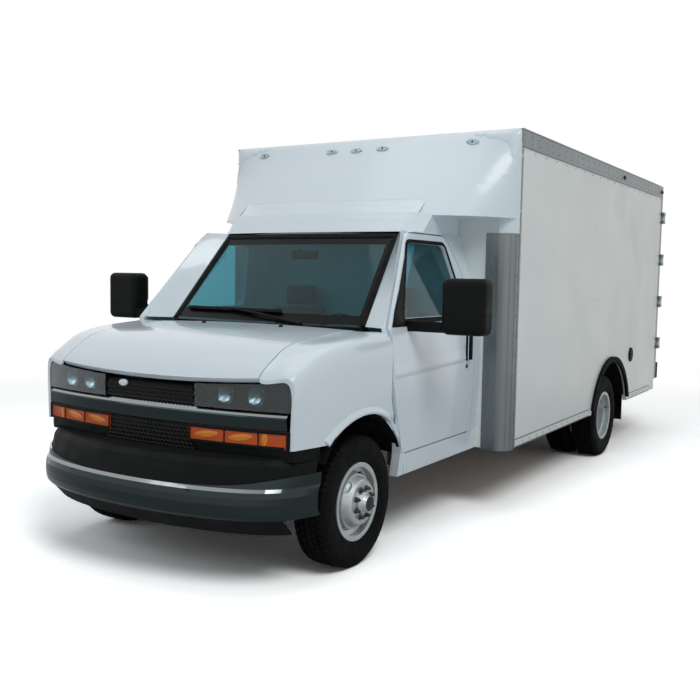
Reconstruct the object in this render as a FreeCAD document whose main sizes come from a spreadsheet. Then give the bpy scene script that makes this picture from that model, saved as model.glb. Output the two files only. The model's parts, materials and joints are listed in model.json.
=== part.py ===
"""Box truck: a cutaway van cab and chassis with an aluminium box body.

+X is the truck's left side, -Y its front, +Z up. The origin is on the ground, in the middle of the
truck's length and width. Lengths are millimetres. Places named "..._y" are distances behind the
front axle, and front_axle_y puts that axle in the model's frame.
"""
import FreeCAD, Part
import math
import os
import re

from FreeCAD import Rotation, Vector

doc = FreeCAD.newDocument("BoxTruck")
sheet = doc.addObject("Spreadsheet::Sheet", "Sizes")

# Driving dimensions, one row each: alias and value.
SIZES = {
    # chassis
    "wheelbase": 4039, "front_overhang": 885, "rear_overhang": 2001,
    "rail_half": 432, "rail_flange": 65, "rail_low": 440, "rail_deep": 180, "rail_plate": 8,
    "rail_front_y": -740, "rail_rear_y": 5790,
    "cross_wide": 90, "cross_deep": 90, "cross_plate": 8, "cross_drop": 14,
    # wheels
    "tyre_radius": 372, "tyre_width": 223, "tyre_bead": 204, "tyre_shoulder": 34,
    "rim_seat": 203.2, "rim_flange": 220.5, "rim_half": 88, "rim_lip": 7, "rim_plate": 9,
    "rim_well": 176, "rim_well_half": 34, "disc_offset": 127, "disc_flat": 120, "disc_plate": 10,
    "hand_hole_radial": 46, "hand_hole_across": 84, "hand_hole_corner": 18, "hand_hole_centre": 156,
    "hub_radius": 66, "hub_nose": 46, "hub_nose_radius": 52, "hub_cap_radius": 40,
    "front_track_half": 836, "rear_track_half": 951.5, "fit_gap": 0.05, "seat_gap": 0.3,
    "brake_radius": 155, "brake_wide": 30, "brake_from_disc": 62,
    # front axle and steering
    "kingpin_half": 765, "kingpin_radius": 28, "kingpin_end_radius": 20, "kingpin_reach": 120,
    "spindle_radius": 28, "spindle_back": 8, "arm_thick": 28, "arm_wide": 64, "arm_eye": 38,
    "steer_arm_long": 150, "steer_arm_wide": 34, "steer_arm_thick": 24, "steer_arm_drop": 70,
    "beam_wide": 180, "beam_low": 300, "beam_deep": 130, "tower_wide": 110, "tower_top": 520,
    # rear axle
    "axle_tube": 46, "drum_radius": 162, "drum_wide": 90, "diff_radius": 168, "diff_half": 150,
    "spring_half": 520, "spring_wide": 76, "spring_thick": 46, "spring_long": 1420,
    "spring_rise": 60, "hanger_wide": 90, "hanger_thick": 40,
    # engine, gearbox, shaft, tank, exhaust
    "engine_half": 280, "engine_front_y": -440, "engine_rear_y": 175, "engine_low": 500,
    "engine_top": 1060, "gearbox_half": 150, "gearbox_rear_y": 880, "gearbox_low": 380,
    "gearbox_top": 580, "shaft_radius": 44, "shaft_front_height": 450,
    "radiator_half": 360, "radiator_y": -590, "radiator_thick": 60, "radiator_top": 1010,
    "tank_half": 340, "tank_front_y": 4560, "tank_rear_y": 5480, "tank_low": 400,
    "tank_corner": 40,
    "pipe_radius": 32, "pipe_bend": 110, "pipe_side": 210, "pipe_height": 400, "muffler_half": 90,
    "muffler_front_y": 2150, "muffler_rear_y": 2760, "pipe_exit_y": 3180, "hanger_half": 15,
    "pipe_exit_half": 1150,
    # cab
    "cab_half": 1007, "cab_back_y": 1505, "cab_low": 445, "belt_height": 1330, "cab_top": 1917,
    "side_plate": 55, "door_front_y": 246, "hinge_post_wide": 60, "hinge_post_low": 640, "pillar_deep": 60,
    "leaf_low": 1060, "leaf_high": 1190, "leaf_tall": 60, "door_gap": 9, "sill_top": 578, "sill_low": 500,
    "cab_floor_low": 640,
    "cab_floor_plate": 30, "cab_floor_half": 915, "firewall_y": 205, "firewall_plate": 25,
    "firewall_half": 880, "roof_plate": 34, "roof_half": 765, "roof_crown": 22, "roof_front_y": 790,
    "pad_wide": 90,
    # windshield
    "glass_plate": 7, "screen_base_half": 752, "screen_base_y": 268, "screen_base_bow": 66,
    "screen_base_height": 1322, "screen_top_half": 690, "screen_top_y": 806, "screen_top_bow": 42,
    "screen_top_height": 1902,
    # hood and fenders
    "hood_half": 716, "hood_plate": 24, "hood_rear_y": 232, "nose_y": -698, "fender_plate": 20,
    "fender_low": 748, "fender_rear_y": 238, "shut_gap": 8,
    "arch_centre_y": -20, "arch_centre_height": 395, "arch_radius": 478,
    "arch_rear_foot_y": 388, "hinge_pin": 7, "hinge_boss": 15, "ear_radius": 12,
    "ear_thick": 8, "cowl_top": 1250, "cowl_deep": 28, "cowl_rear_y": 366, "riser_thick": 24,
    "riser_set": 6, "house_radius": 470, "house_plate": 20, "house_inner": 580,
    "hood_hinge_y": 215, "hood_hinge_drop": 52, "hood_hinge_half": 300, "hood_hinge_wide": 30,
    # nose
    "lamp_inner_half": 330, "lamp_outer_half": 892, "lamp_low": 940, "lamp_top": 1096,
    "lamp_deep": 80, "lamp_wall": 8, "lens_plate": 5, "bowl_radius": 66,
    "bowl_plate": 4, "bowl_set": 27, "turn_low": 750, "grille_low": 700,
    "grille_top": 1040, "cell_wide": 40, "cell_bar": 8, "grille_rim": 9, "grille_plate": 12,
    "bar_low": 842, "bar_top": 938, "bar_deep": 44, "bar_bevel": 26, "bar_half": 868,
    "bumper_half": 951, "bumper_low": 392, "bumper_top": 556, "bumper_plate": 14, "bumper_set": 27,
    "bumper_rise": 62, "cover_top": 704, "cover_back": 190, "shelf_thick": 12, "valance_low": 300,
    "valance_inset": 90, "valance_back": 122, "lip_clear": 7, "lamp_lift": 40,
    # cab inside
    "dash_front_y": 372, "dash_rear_y": 630, "dash_low": 930, "dash_top": 1280, "dash_half": 870,
    "seat_half": 420, "seat_wide": 500, "seat_front_y": 850, "seat_deep": 500, "seat_height": 990,
    "seat_thick": 150, "seat_back_top": 1560, "seat_back_thick": 130, "seat_base_wide": 340,
    "wheel_ring_radius": 190, "wheel_ring_tube": 15, "steer_hub_y": 690, "steer_hub_height": 1210,
    "column_radius": 26, "column_long": 150, "steer_boss": 50, "steer_boss_deep": 30,
    # box body
    "box_half": 1219, "box_front_y": 1500, "wall_front_y": 1610, "box_rear_y": 5880,
    "wall_plate": 35, "wall_low": 450, "roof_height": 2645, "roof_panel": 25, "rail_tall": 121,
    "rail_proud": 4, "rail_inside": 30, "skirt_rail": 60, "floor_top": 762, "floor_plate": 30,
    "sill_beam_deep": 112, "sill_beam_wide": 60, "front_wall_plate": 25, "post_radius": 105,
    "post_plate": 5, "post_flange": 92, "post_low": 440, "post_top": 1936,
    "rear_arch_y": 4065, "rear_arch_height": 275, "rear_arch_radius": 612, "flare_wide": 36,
    "flare_proud": 24, "flare_inside": 12, "housing_inner": 665, "housing_top": 905,
    "housing_plate": 16, "housing_gap": 20,
    # front cap
    "cap_low": 1918, "cap_crown": 48, "shoulder_height": 2034, "cap_plate": 16, "cap_front_y": 800,
    "neck_half": 812, "neck_front_bow": 46,
    # rear end
    "post_wide": 80, "rear_post_deep": 80, "header_deep": 145, "rear_sill_low": 560,
    "rear_door_gap": 8, "rear_door_plate": 38, "rear_pin_out": 16, "rear_pin_back": 26,
    "rear_pin_radius": 6, "rear_knuckle": 11, "strap_high": 60, "strap_thick": 8, "strap_long": 300,
    "strap_lift": 6, "strap_first": 190, "lock_rod": 10, "lock_rod_in": 90, "lock_height": 1250,
    "step_front_y": 5900, "step_half": 820, "step_low": 400, "step_deep": 70, "step_bracket": 60,
    "dock_wide": 100, "dock_thick": 90, "dock_low": 480, "dock_high": 250,
    "flap_y": 4745, "flap_low": 240, "flap_top": 720, "flap_thick": 10, "flap_in": 690,
    "flap_out": 1195, "filler_y": 4750, "filler_height": 897, "filler_radius": 70,
    "filler_proud": 6, "tail_lamp_radius": 55, "tail_lamp_proud": 12, "tail_lamp_height": 660,
    "marker_radius": 38, "marker_proud": 20,
    # cab doors and mirrors
    "door_low": 586, "door_rear_y": 1385, "window_base": 1385, "window_top": 1838,
    "window_front_y": 420, "window_rear_y": 1305, "pane": 5, "pane_inset": 22,
    "door_skin": 24, "door_step": 16, "rabbet_set": 33,
    "door_frame": 64, "mirror_in": 1205, "mirror_out": 1478, "mirror_front_y": 420,
    "mirror_deep": 150, "mirror_drop": 30, "mirror_tall": 325, "mirror_arm_deep": 60,
    "mirror_foot_y": 440, "mirror_corner": 40,
    "handle_y": 1250, "handle_low": 1085, "handle_long": 170, "handle_wide": 26,
    "handle_proud": 22, "overrun": 40,
}
for row, (alias, value) in enumerate(SIZES.items(), 1):
    cell = "A%d" % row
    sheet.set(cell, str(value))
    sheet.setAlias(cell, alias)
doc.recompute()


class Sizes:
    """The sheet's values as attributes, for the shapes that are made by code."""

    def __getattr__(self, alias):
        return float(sheet.get(alias))


S = Sizes()
FRONT_AXLE = "((front_overhang - wheelbase - rear_overhang) / 2)"
REAR_AXLE = "((front_overhang + wheelbase - rear_overhang) / 2)"
front_axle_y = (S.front_overhang - S.wheelbase - S.rear_overhang) / 2
rear_axle_y = front_axle_y + S.wheelbase
ALIAS = re.compile(r"\b(" + "|".join(SIZES) + r")\b")
nodes = []


def bind(thing, prop, text):
    """Bind one property to an expression of the sheet's aliases."""
    thing.setExpression(prop, ALIAS.sub(r"Sizes.\1", text))


def place(thing, spot):
    for part, text in zip("xyz", spot):
        bind(thing, "Placement.Base." + part, text)


def block(name, low, size):
    """A box from its low corner and its three sizes, all expressions."""
    thing = doc.addObject("Part::Box", name)
    for prop, text in zip(("Length", "Width", "Height"), size):
        bind(thing, prop, text)
    place(thing, low)
    return thing


TURN = {"x": Rotation(Vector(0, 1, 0), 90), "y": Rotation(Vector(1, 0, 0), -90), "z": Rotation()}


def rod(name, low, radius, length, along):
    """A cylinder from the middle of its low end, along one axis."""
    thing = doc.addObject("Part::Cylinder", name)
    thing.Placement.Rotation = TURN[along]
    bind(thing, "Radius", radius)
    bind(thing, "Height", length)
    place(thing, low)
    return thing


def fuse(name, parts):
    thing = doc.addObject("Part::MultiFuse", name)
    thing.Shapes = parts
    thing.Refine = True
    return thing


def cut(name, base, tool):
    thing = doc.addObject("Part::Cut", name)
    thing.Base = base
    thing.Tool = tool
    return thing


def group(name, parts):
    thing = doc.addObject("Part::Compound", name)
    thing.Links = parts
    return thing


def mirrored(name, source):
    thing = doc.addObject("Part::Mirroring", name)
    thing.Source = source
    thing.Normal = Vector(1, 0, 0)
    return thing


def made(name, shape):
    """An object whose shape the code below works out from the sheet."""
    thing = doc.addObject("Part::Feature", name)
    thing.Shape = shape
    return thing


def node(thing, label):
    """Name a finished sub-part: its label is its file's name."""
    thing.Label = label
    nodes.append(thing)
    return thing


def both_sides(label, left):
    """A sub-part of a left solid and its mirror image, which don't touch."""
    return node(group(label + "_pair", [left, mirrored(label + "_right_half", left)]), label)


def flip(shape):
    return shape.mirror(Vector(0, 0, 0), Vector(1, 0, 0))


def side_by_side(shape):
    return Part.makeCompound([shape, flip(shape)])


def spline(points):
    curve = Part.BSplineCurve()
    curve.interpolate([Vector(*point) for point in points])
    return curve.toShape()


def polyline(points, closed=True):
    corners = [Vector(*point) for point in points]
    if closed:
        corners.append(corners[0])
    return Part.makePolygon(corners)


def prism(points, direction):
    return Part.Face(polyline(points)).extrude(Vector(*direction))


def across(outline, x_low, x_high):
    """A side view's outline, of (y behind the front axle, z), run across the truck."""
    points = [(x_low, front_axle_y + y, z) for y, z in outline]
    return prism(points, (x_high - x_low, 0, 0))


def solid_box(x_low, x_high, y_low, y_high, z_low, z_high):
    corner = Vector(x_low, front_axle_y + y_low, z_low)
    return Part.makeBox(x_high - x_low, y_high - y_low, z_high - z_low, corner)


def tube_x(x_low, x_high, y, z, radius):
    return Part.makeCylinder(radius, x_high - x_low, Vector(x_low, front_axle_y + y, z),
                             Vector(1, 0, 0))


def rounded(outline, radii):
    """A closed outline of (u, v) points with its corners rounded, as edges in the u-v plane."""
    count = len(outline)
    edges = []
    starts = []
    ends = []
    for index in range(count):
        before = Vector(*outline[index - 1], 0)
        corner = Vector(*outline[index], 0)
        after = Vector(*outline[(index + 1) % count], 0)
        inward = (before - corner).normalize()
        outward = (after - corner).normalize()
        half = inward.getAngle(outward) / 2
        reach = radii[index] / math.tan(half)
        starts.append(corner + inward * reach)
        ends.append(corner + outward * reach)
        middle = corner + (inward + outward).normalize() * (radii[index] / math.sin(half) - radii[index])
        edges.append(Part.Arc(starts[index], middle, ends[index]).toShape())
    wire = []
    for index in range(count):
        wire.append(edges[index])
        following = (index + 1) % count
        if (ends[index] - starts[following]).Length > S.fit_gap:
            wire.append(Part.LineSegment(ends[index], starts[following]).toShape())
    return Part.Wire(wire)


SIDE_VIEW = Rotation(Vector(0, 1, 0), Vector(0, 0, 1), Vector(1, 0, 0), "ZXY")
FRONT_VIEW = Rotation(Vector(1, 0, 0), Vector(0, 0, 1), Vector(0, -1, 0), "ZXY")


def side_prism(outline, radii, x_low, x_high):
    """A rounded side-view outline of (y behind the front axle, z), run across from x_low to x_high."""
    face = Part.Face(rounded(outline, radii))
    face.Placement = FreeCAD.Placement(Vector(x_low, front_axle_y, 0), SIDE_VIEW)
    return face.extrude(Vector(x_high - x_low, 0, 0))


def front_prism(outline, radii, y_low, y_high):
    """A rounded front-view outline of (x, z), run back from y_low to y_high."""
    face = Part.Face(rounded(outline, radii))
    face.Placement = FreeCAD.Placement(Vector(0, front_axle_y + y_low, 0), FRONT_VIEW)
    return face.extrude(Vector(0, y_high - y_low, 0))


# Chassis frame
def frame_rails():
    size = ("rail_flange", "rail_rear_y - rail_front_y", "rail_deep")
    low = ("rail_half - rail_flange", FRONT_AXLE + " + rail_front_y", "rail_low")
    outer = block("rail_outer", low, size)
    inner = block("rail_channel",
                  ("rail_half - rail_flange - rail_plate", low[1] + " - overrun",
                   "rail_low + rail_plate"),
                  ("rail_flange", size[1] + " + 2 * overrun", "rail_deep - 2 * rail_plate"))
    both_sides("frame_rails", cut("rail_left", outer, inner))


CROSS_SHARES = (0.02, 0.30, 0.44, 0.585, 0.80, 0.985)


def crossmembers():
    parts = []
    for index, share in enumerate(CROSS_SHARES):
        spot = "%s + rail_front_y + %g * (rail_rear_y - rail_front_y - cross_wide)" % (FRONT_AXLE, share)
        low = ("rail_plate - rail_half", spot, "rail_low + rail_deep - cross_drop - cross_deep")
        size = ("2 * (rail_half - rail_plate)", "cross_wide", "cross_deep")
        parts.append(block("cross_%d" % index, low, size))
    node(group("crossmember_set", parts), "crossmembers")


def engine_block():
    thing = block("engine", ("-engine_half", FRONT_AXLE + " + engine_front_y", "engine_low"),
                  ("2 * engine_half", "engine_rear_y - engine_front_y", "engine_top - engine_low"))
    node(thing, "engine_block")


def driveline():
    box = block("gearbox", ("-gearbox_half", FRONT_AXLE + " + engine_rear_y", "gearbox_low"),
                ("2 * gearbox_half", "gearbox_rear_y - engine_rear_y", "gearbox_top - gearbox_low"))
    start = Vector(0, front_axle_y + S.gearbox_rear_y - S.overrun, S.shaft_front_height)
    end = Vector(0, rear_axle_y - S.diff_radius - S.seat_gap, S.tyre_radius)
    shaft = Part.makeCylinder(S.shaft_radius, (end - start).Length, start, end - start)
    behind = Part.makeBox(2 * S.box_half, S.box_half, 2 * S.box_half,
                          Vector(-S.box_half, rear_axle_y - S.diff_radius - S.seat_gap, -S.box_half / 2))
    node(fuse("driveline_fuse", [box, made("prop_shaft", shaft.cut(behind))]), "driveline")


def fuel_tank():
    base = block("tank_box", ("-tank_half", FRONT_AXLE + " + tank_front_y", "tank_low"),
                 ("2 * tank_half", "tank_rear_y - tank_front_y", "rail_low + rail_deep - tank_low"))
    doc.recompute()
    thing = doc.addObject("Part::Fillet", "tank_round")
    thing.Base = base
    thing.Edges = [(index, S.tank_corner, S.tank_corner) for index in range(1, 13)]
    node(thing, "fuel_tank")


def exhaust():
    height = S.pipe_height
    side = -S.pipe_side
    start = Vector(side, front_axle_y + S.engine_rear_y + S.pipe_bend, height)
    corner_y = front_axle_y + S.pipe_exit_y
    before = Vector(side, corner_y - S.pipe_bend, height)
    middle = Vector(side - S.pipe_bend * (1 - math.sqrt(0.5)),
                    corner_y - S.pipe_bend * (1 - math.sqrt(0.5)),
                    height)
    after = Vector(side - S.pipe_bend, corner_y, height)
    end = Vector(-S.pipe_exit_half, corner_y, height)
    path = Part.Wire([Part.LineSegment(start, before).toShape(), Part.Arc(before, middle, after).toShape(),
                      Part.LineSegment(after, end).toShape()])
    ring = Part.Wire(Part.makeCircle(S.pipe_radius, start, Vector(0, 1, 0)))
    pipe = path.makePipeShell([ring], True, False)
    can = Part.makeCylinder(S.muffler_half, S.muffler_rear_y - S.muffler_front_y,
                            Vector(side, front_axle_y + S.muffler_front_y, height), Vector(0, 1, 0))
    hanger = solid_box(-S.rail_half, -S.rail_half + S.rail_flange, S.pipe_exit_y - S.hanger_half,
                       S.pipe_exit_y + S.hanger_half, S.pipe_height, S.rail_low)
    node(made("exhaust_pipe", pipe.fuse([can, hanger]).removeSplitter()), "exhaust")


def radiator():
    low = "rail_low + rail_deep - cross_drop"
    thing = block("radiator_core", ("-radiator_half", FRONT_AXLE + " + radiator_y", low),
                  ("2 * radiator_half", "radiator_thick", "radiator_top - (%s)" % low))
    node(thing, "radiator")


# Front axle: a cross beam, and on each side two arms whose eyes hold the kingpin
def front_axle():
    eye_low = "tyre_radius - kingpin_reach - arm_thick"
    eye_high = "tyre_radius + kingpin_reach"
    parts = [block("axle_beam", ("-rail_half - tower_wide", FRONT_AXLE + " - beam_wide / 2", "beam_low"),
                   ("2 * (rail_half + tower_wide)", "beam_wide", "beam_deep"))]
    for side, sign in (("left", ""), ("right", "-")):
        tower = "rail_half" if side == "left" else "-rail_half - tower_wide"
        parts.append(block("tower_" + side, (tower, FRONT_AXLE + " - tower_wide / 2", "beam_low"),
                           ("tower_wide", "tower_wide", "tower_top - beam_low")))
        for name, height in (("lower", eye_low), ("upper", eye_high)):
            start = "rail_half" if side == "left" else "-kingpin_half"
            parts.append(block("arm_%s_%s" % (name, side),
                               (start, FRONT_AXLE + " - arm_wide / 2", height),
                               ("kingpin_half - rail_half", "arm_wide", "arm_thick")))
            parts.append(rod("eye_%s_%s" % (name, side),
                             (sign + "kingpin_half", FRONT_AXLE, height), "arm_eye", "arm_thick", "z"))
    solid = fuse("axle_solid", parts)
    holes = []
    for side, sign in (("left", ""), ("right", "-")):
        holes.append(rod("eye_hole_" + side, (sign + "kingpin_half", FRONT_AXLE, "beam_low - overrun * 3"),
                         "kingpin_end_radius + fit_gap", "tower_top", "z"))
    node(cut("axle_cut", solid, fuse("eye_holes", holes)), "front_axle")


def knuckle(side, sign):
    """The upright between the arms' eyes, its spindle and its steering arm."""
    low = "tyre_radius - kingpin_reach"
    spot = (sign + "kingpin_half", FRONT_AXLE)
    spindle_long = "front_track_half + disc_offset - kingpin_half + hub_nose / 2"
    spindle_start = "kingpin_half" if side == "left" else "-kingpin_half - (%s)" % spindle_long
    parts = [
        rod("pin_" + side, (spot[0], spot[1], low + " - arm_thick"), "kingpin_end_radius",
            "2 * (kingpin_reach + arm_thick)", "z"),
        rod("upright_" + side, (spot[0], spot[1], low + " + seat_gap"), "kingpin_radius",
            "2 * (kingpin_reach - seat_gap)", "z"),
        rod("spindle_" + side, (spindle_start, FRONT_AXLE, "tyre_radius"), "spindle_radius",
            spindle_long, "x"),
        block("steer_arm_" + side, (sign + "kingpin_half - steer_arm_wide / 2", FRONT_AXLE,
                                    "tyre_radius - steer_arm_drop"),
              ("steer_arm_wide", "steer_arm_long", "steer_arm_thick")),
    ]
    node(fuse("knuckle_fuse_" + side, parts), "knuckle_" + side)


# Wheels. Profiles are (distance outward from the wheel's middle plane, radius).
def revolved(profile, x, y):
    """Turn a closed profile about a wheel's axle line; x is the wheel's middle plane."""
    points = [(x + along, front_axle_y + y, S.tyre_radius + radius) for along, radius in profile]
    face = Part.Face(polyline(points))
    return face.revolve(Vector(x, front_axle_y + y, S.tyre_radius), Vector(1, 0, 0), 360)


def rim_shape(x, y, outward):
    """A steel rim with its disc; outward is 1 where the disc stands towards +X, else -1."""
    half, seat, flange, well = S.rim_half, S.rim_seat, S.rim_flange, S.rim_well
    lip, plate, deep = S.rim_lip, S.rim_plate, S.rim_well_half
    barrel = [(-half - lip, flange), (-half, flange), (-half, seat), (-deep - 2 * plate, seat),
              (-deep, well), (deep, well), (deep + 2 * plate, seat), (half, seat), (half, flange),
              (half + lip, flange), (half + lip, flange - plate), (half + plate / 2, seat - plate),
              (deep + 2 * plate, seat - plate), (deep + plate, well - plate),
              (-deep - plate, well - plate), (-deep - 2 * plate, seat - plate),
              (-half - plate / 2, seat - plate), (-half - lip, flange - plate)]
    disc_end, disc = S.disc_flat, S.disc_offset
    web = [(0, well - plate / 2), (plate + deep / 2, well - plate / 2), (disc - plate, disc_end + plate),
           (disc, disc_end), (disc, S.hub_radius - plate), (disc - S.disc_plate, S.hub_radius - plate),
           (disc - S.disc_plate, disc_end - plate), (disc - 3 * plate, disc_end)]
    shape = revolved(barrel, x, y).fuse(revolved([(outward * a, r) for a, r in web], x, y))
    axis = Vector(1, 0, 0)
    centre = Vector(x, front_axle_y + y, S.tyre_radius)
    for step in range(HAND_HOLES):
        hole = rounded([(-S.hand_hole_across / 2, S.hand_hole_centre - S.hand_hole_radial / 2),
                        (S.hand_hole_across / 2, S.hand_hole_centre - S.hand_hole_radial / 2),
                        (S.hand_hole_across / 2, S.hand_hole_centre + S.hand_hole_radial / 2),
                        (-S.hand_hole_across / 2, S.hand_hole_centre + S.hand_hole_radial / 2)],
                       [S.hand_hole_corner] * 4)
        face = Part.Face(hole)
        face.Placement = FreeCAD.Placement(centre, SIDE_VIEW)
        tool = face.extrude(Vector(outward * (S.disc_offset + S.overrun), 0, 0))
        tool.rotate(centre, axis, 45 + 360 * step / HAND_HOLES)
        shape = shape.cut(tool)
    return shape


HAND_HOLES = 4


def front_rim(side, sign):
    x = sign * S.front_track_half
    rim = rim_shape(x, 0, sign)
    disc = S.disc_offset
    back = S.brake_from_disc
    hub = [(disc - back, 0), (disc - back, S.hub_radius), (disc + S.disc_plate, S.hub_radius),
           (disc + S.hub_nose / 2, S.hub_nose_radius), (disc + S.hub_nose, S.hub_cap_radius),
           (disc + S.hub_nose, 0)]
    hub = revolved([(sign * a, r) for a, r in hub], x, 0)
    brake = tube_x(x + sign * (disc - back) - S.brake_wide / 2, x + sign * (disc - back) + S.brake_wide / 2,
                   0, S.tyre_radius, S.brake_radius)
    bore_end = sign * (S.front_track_half + S.disc_offset + S.hub_nose / 2 + S.seat_gap)
    bore = tube_x(min(0, bore_end), max(0, bore_end), 0, S.tyre_radius, S.spindle_radius + S.fit_gap)
    shape = rim.fuse([hub, brake]).cut(bore).removeSplitter()
    node(made("front_rim_shape_" + side, shape), "front_rim_" + side)


# Flats round a tyre
TYRE_FLATS = 48


def tyre_shape(x, y):
    """A road tyre as a closed ring of flats round its axle, with a corner of the ring on the ground."""
    half, outer, bead, round_off = S.tyre_width / 2, S.tyre_radius, S.tyre_bead, S.tyre_shoulder
    foot = S.rim_half - S.seat_gap
    wall = (outer + S.rim_flange) / 2
    profile = [(-foot, bead), (-foot, S.rim_flange), (-half, wall), (-half + S.rim_lip, outer - round_off),
               (-half + round_off, outer), (half - round_off, outer),
               (half - S.rim_lip, outer - round_off), (half, wall), (foot, S.rim_flange), (foot, bead)]
    turns = [2 * math.pi * step / TYRE_FLATS for step in range(TYRE_FLATS)]
    rings = [[Vector(x + across, front_axle_y + y + radius * math.sin(turn), outer - radius * math.cos(turn))
              for turn in turns] for across, radius in profile]
    faces = []
    for near, far in zip(rings, rings[1:] + rings[:1]):
        for step in range(TYRE_FLATS):
            corners = [near[step - 1], near[step], far[step], far[step - 1]]
            faces.append(Part.Face(Part.makePolygon(corners + corners[:1])))
    ring = Part.makeSolid(Part.makeShell(faces))
    ring.fix(S.fit_gap, S.fit_gap, S.fit_gap)
    return ring


def front_tyre(side, sign):
    node(made("front_tyre_shape_" + side, tyre_shape(sign * S.front_track_half, 0)), "front_tyre_" + side)


def rear_wheels(side, sign):
    outer = S.rear_track_half + S.disc_offset + S.seat_gap / 2
    inner = S.rear_track_half - S.disc_offset - S.seat_gap / 2
    rims = rim_shape(sign * outer, S.wheelbase, -sign).fuse(rim_shape(sign * inner, S.wheelbase, sign))
    face = S.rear_track_half
    hub = [(-face + S.flap_in, 0), (-face + S.flap_in, S.hub_radius + S.rim_plate),
           (S.hub_nose, S.hub_radius + S.rim_plate), (2 * S.hub_nose, S.hub_nose_radius),
           (2 * S.hub_nose, 0)]
    hub = revolved([(sign * a, r) for a, r in hub], sign * face, S.wheelbase)
    drum_start = sign * (S.flap_in)
    drum_end = sign * (S.flap_in + S.drum_wide)
    drum = tube_x(min(drum_start, drum_end), max(drum_start, drum_end), S.wheelbase, S.tyre_radius,
                  S.drum_radius)
    bore_end = sign * (face + S.hub_nose + S.seat_gap)
    bore = tube_x(min(0, bore_end), max(0, bore_end), S.wheelbase, S.tyre_radius, S.axle_tube + S.fit_gap)
    shape = rims.fuse([hub, drum]).cut(bore).removeSplitter()
    node(made("rear_rims_shape_" + side, shape), "rear_rims_" + side)
    tyres = Part.makeCompound([tyre_shape(sign * outer, S.wheelbase), tyre_shape(sign * inner,
                                                                                 S.wheelbase)])
    node(made("rear_tyres_shape_" + side, tyres), "rear_tyres_" + side)


DIFF_STEPS = 8


def rear_axle():
    """The axle tube with its final drive, hung from two leaf springs by their hangers."""
    half = S.rear_track_half + S.hub_nose
    bulge = [(S.diff_half * math.cos(math.pi * step / DIFF_STEPS),
              S.axle_tube + (S.diff_radius - S.axle_tube) * math.sin(math.pi * step / DIFF_STEPS))
             for step in range(DIFF_STEPS + 1)]
    profile = [(half, 0), (half, S.axle_tube)] + bulge + [(-half, S.axle_tube), (-half, 0)]
    shape = revolved(profile, 0, S.wheelbase)
    for sign in (1, -1):
        low = S.tyre_radius + S.axle_tube - S.rim_plate
        middle = low + S.spring_thick
        points = [(-S.spring_long / 2, middle + S.spring_rise), (0, middle), (S.spring_long / 2,
                                                                            middle + S.spring_rise)]
        start = [(0, rear_axle_y + y, z) for y, z in points]
        upper = Part.Arc(*[Vector(*point) for point in start]).toShape()
        lower = Part.Arc(*[Vector(x, y, z - S.spring_thick) for x, y, z in start]).toShape()
        ends = [Part.LineSegment(Vector(*start[0]), Vector(*start[0]) - Vector(0, 0, S.spring_thick)),
                Part.LineSegment(Vector(*start[2]), Vector(*start[2]) - Vector(0, 0, S.spring_thick))]
        face = Part.Face(Part.Wire([upper, ends[1].toShape(), lower, ends[0].toShape()]))
        inside = sign * S.spring_half - S.spring_wide / 2
        spring = face.extrude(Vector(S.spring_wide, 0, 0))
        spring.translate(Vector(inside, 0, 0))
        shape = shape.fuse(spring)
        for end in (-1, 1):
            y = S.wheelbase + end * (S.spring_long / 2 - S.hanger_thick / 2)
            x_low = S.rail_half if sign > 0 else -S.spring_half - S.spring_wide / 2
            x_high = S.spring_half + S.spring_wide / 2 if sign > 0 else -S.rail_half
            shape = shape.fuse(solid_box(x_low, x_high, y - S.hanger_thick / 2, y + S.hanger_thick / 2,
                                         middle + S.spring_rise - S.spring_thick,
                                         S.rail_low + S.hanger_wide + S.spring_thick))
    node(made("rear_axle_shape", shape.removeSplitter()), "rear_axle")


# Cab. The side's section is (x, z) from sill to roof; the doors are cut from the same shell.
SIDE_SHARES = ((0.960, 0.0), (0.978, 0.16), (0.991, 0.36), (0.998, 0.55), (1.0, 0.72), (0.994, 0.87),
               (0.978, 1.0))
ROOF_X_SHARE = 0.815


def side_points():
    rise = S.belt_height - S.cab_low
    low = [(S.cab_half * x, S.cab_low + rise * z) for x, z in SIDE_SHARES]
    return low, (S.cab_half * ROOF_X_SHARE, S.cab_top)


def side_shell(inset, thick, y_low, y_high):
    """The cab side's wall between two depths, inset and inset + thick, run along the truck."""
    low, top = side_points()
    y = front_axle_y + y_low
    outer = spline([(x - inset, y, z) for x, z in low])
    inner = spline([(x - inset - thick, y, z) for x, z in low])
    low_out, low_in = Vector(low[0][0] - inset, y, low[0][1]), Vector(low[0][0] - inset - thick, y,
                                                                      low[0][1])
    belt_out, belt_in = Vector(low[-1][0] - inset, y, low[-1][1]), Vector(low[-1][0] - inset - thick, y,
                                                                         low[-1][1])
    top_out, top_in = Vector(top[0] - inset, y, top[1]), Vector(top[0] - inset - thick, y, top[1])
    lines = [(belt_out, top_out), (top_out, top_in), (top_in, belt_in), (low_in, low_out)]
    edges = [outer] + [Part.LineSegment(a, b).toShape() for a, b in lines[:3]] + [inner]
    edges.append(Part.LineSegment(*lines[3]).toShape())
    return Part.Face(Part.Wire(edges)).extrude(Vector(0, y_high - y_low, 0))


def side_x(height):
    """The cab side's outer face at a height, by its section's corners."""
    low, top = side_points()
    points = low + [top]
    for (x_a, z_a), (x_b, z_b) in zip(points, points[1:]):
        if height <= z_b:
            return x_a + (x_b - x_a) * (height - z_a) / (z_b - z_a)
    return points[-1][0]


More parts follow.
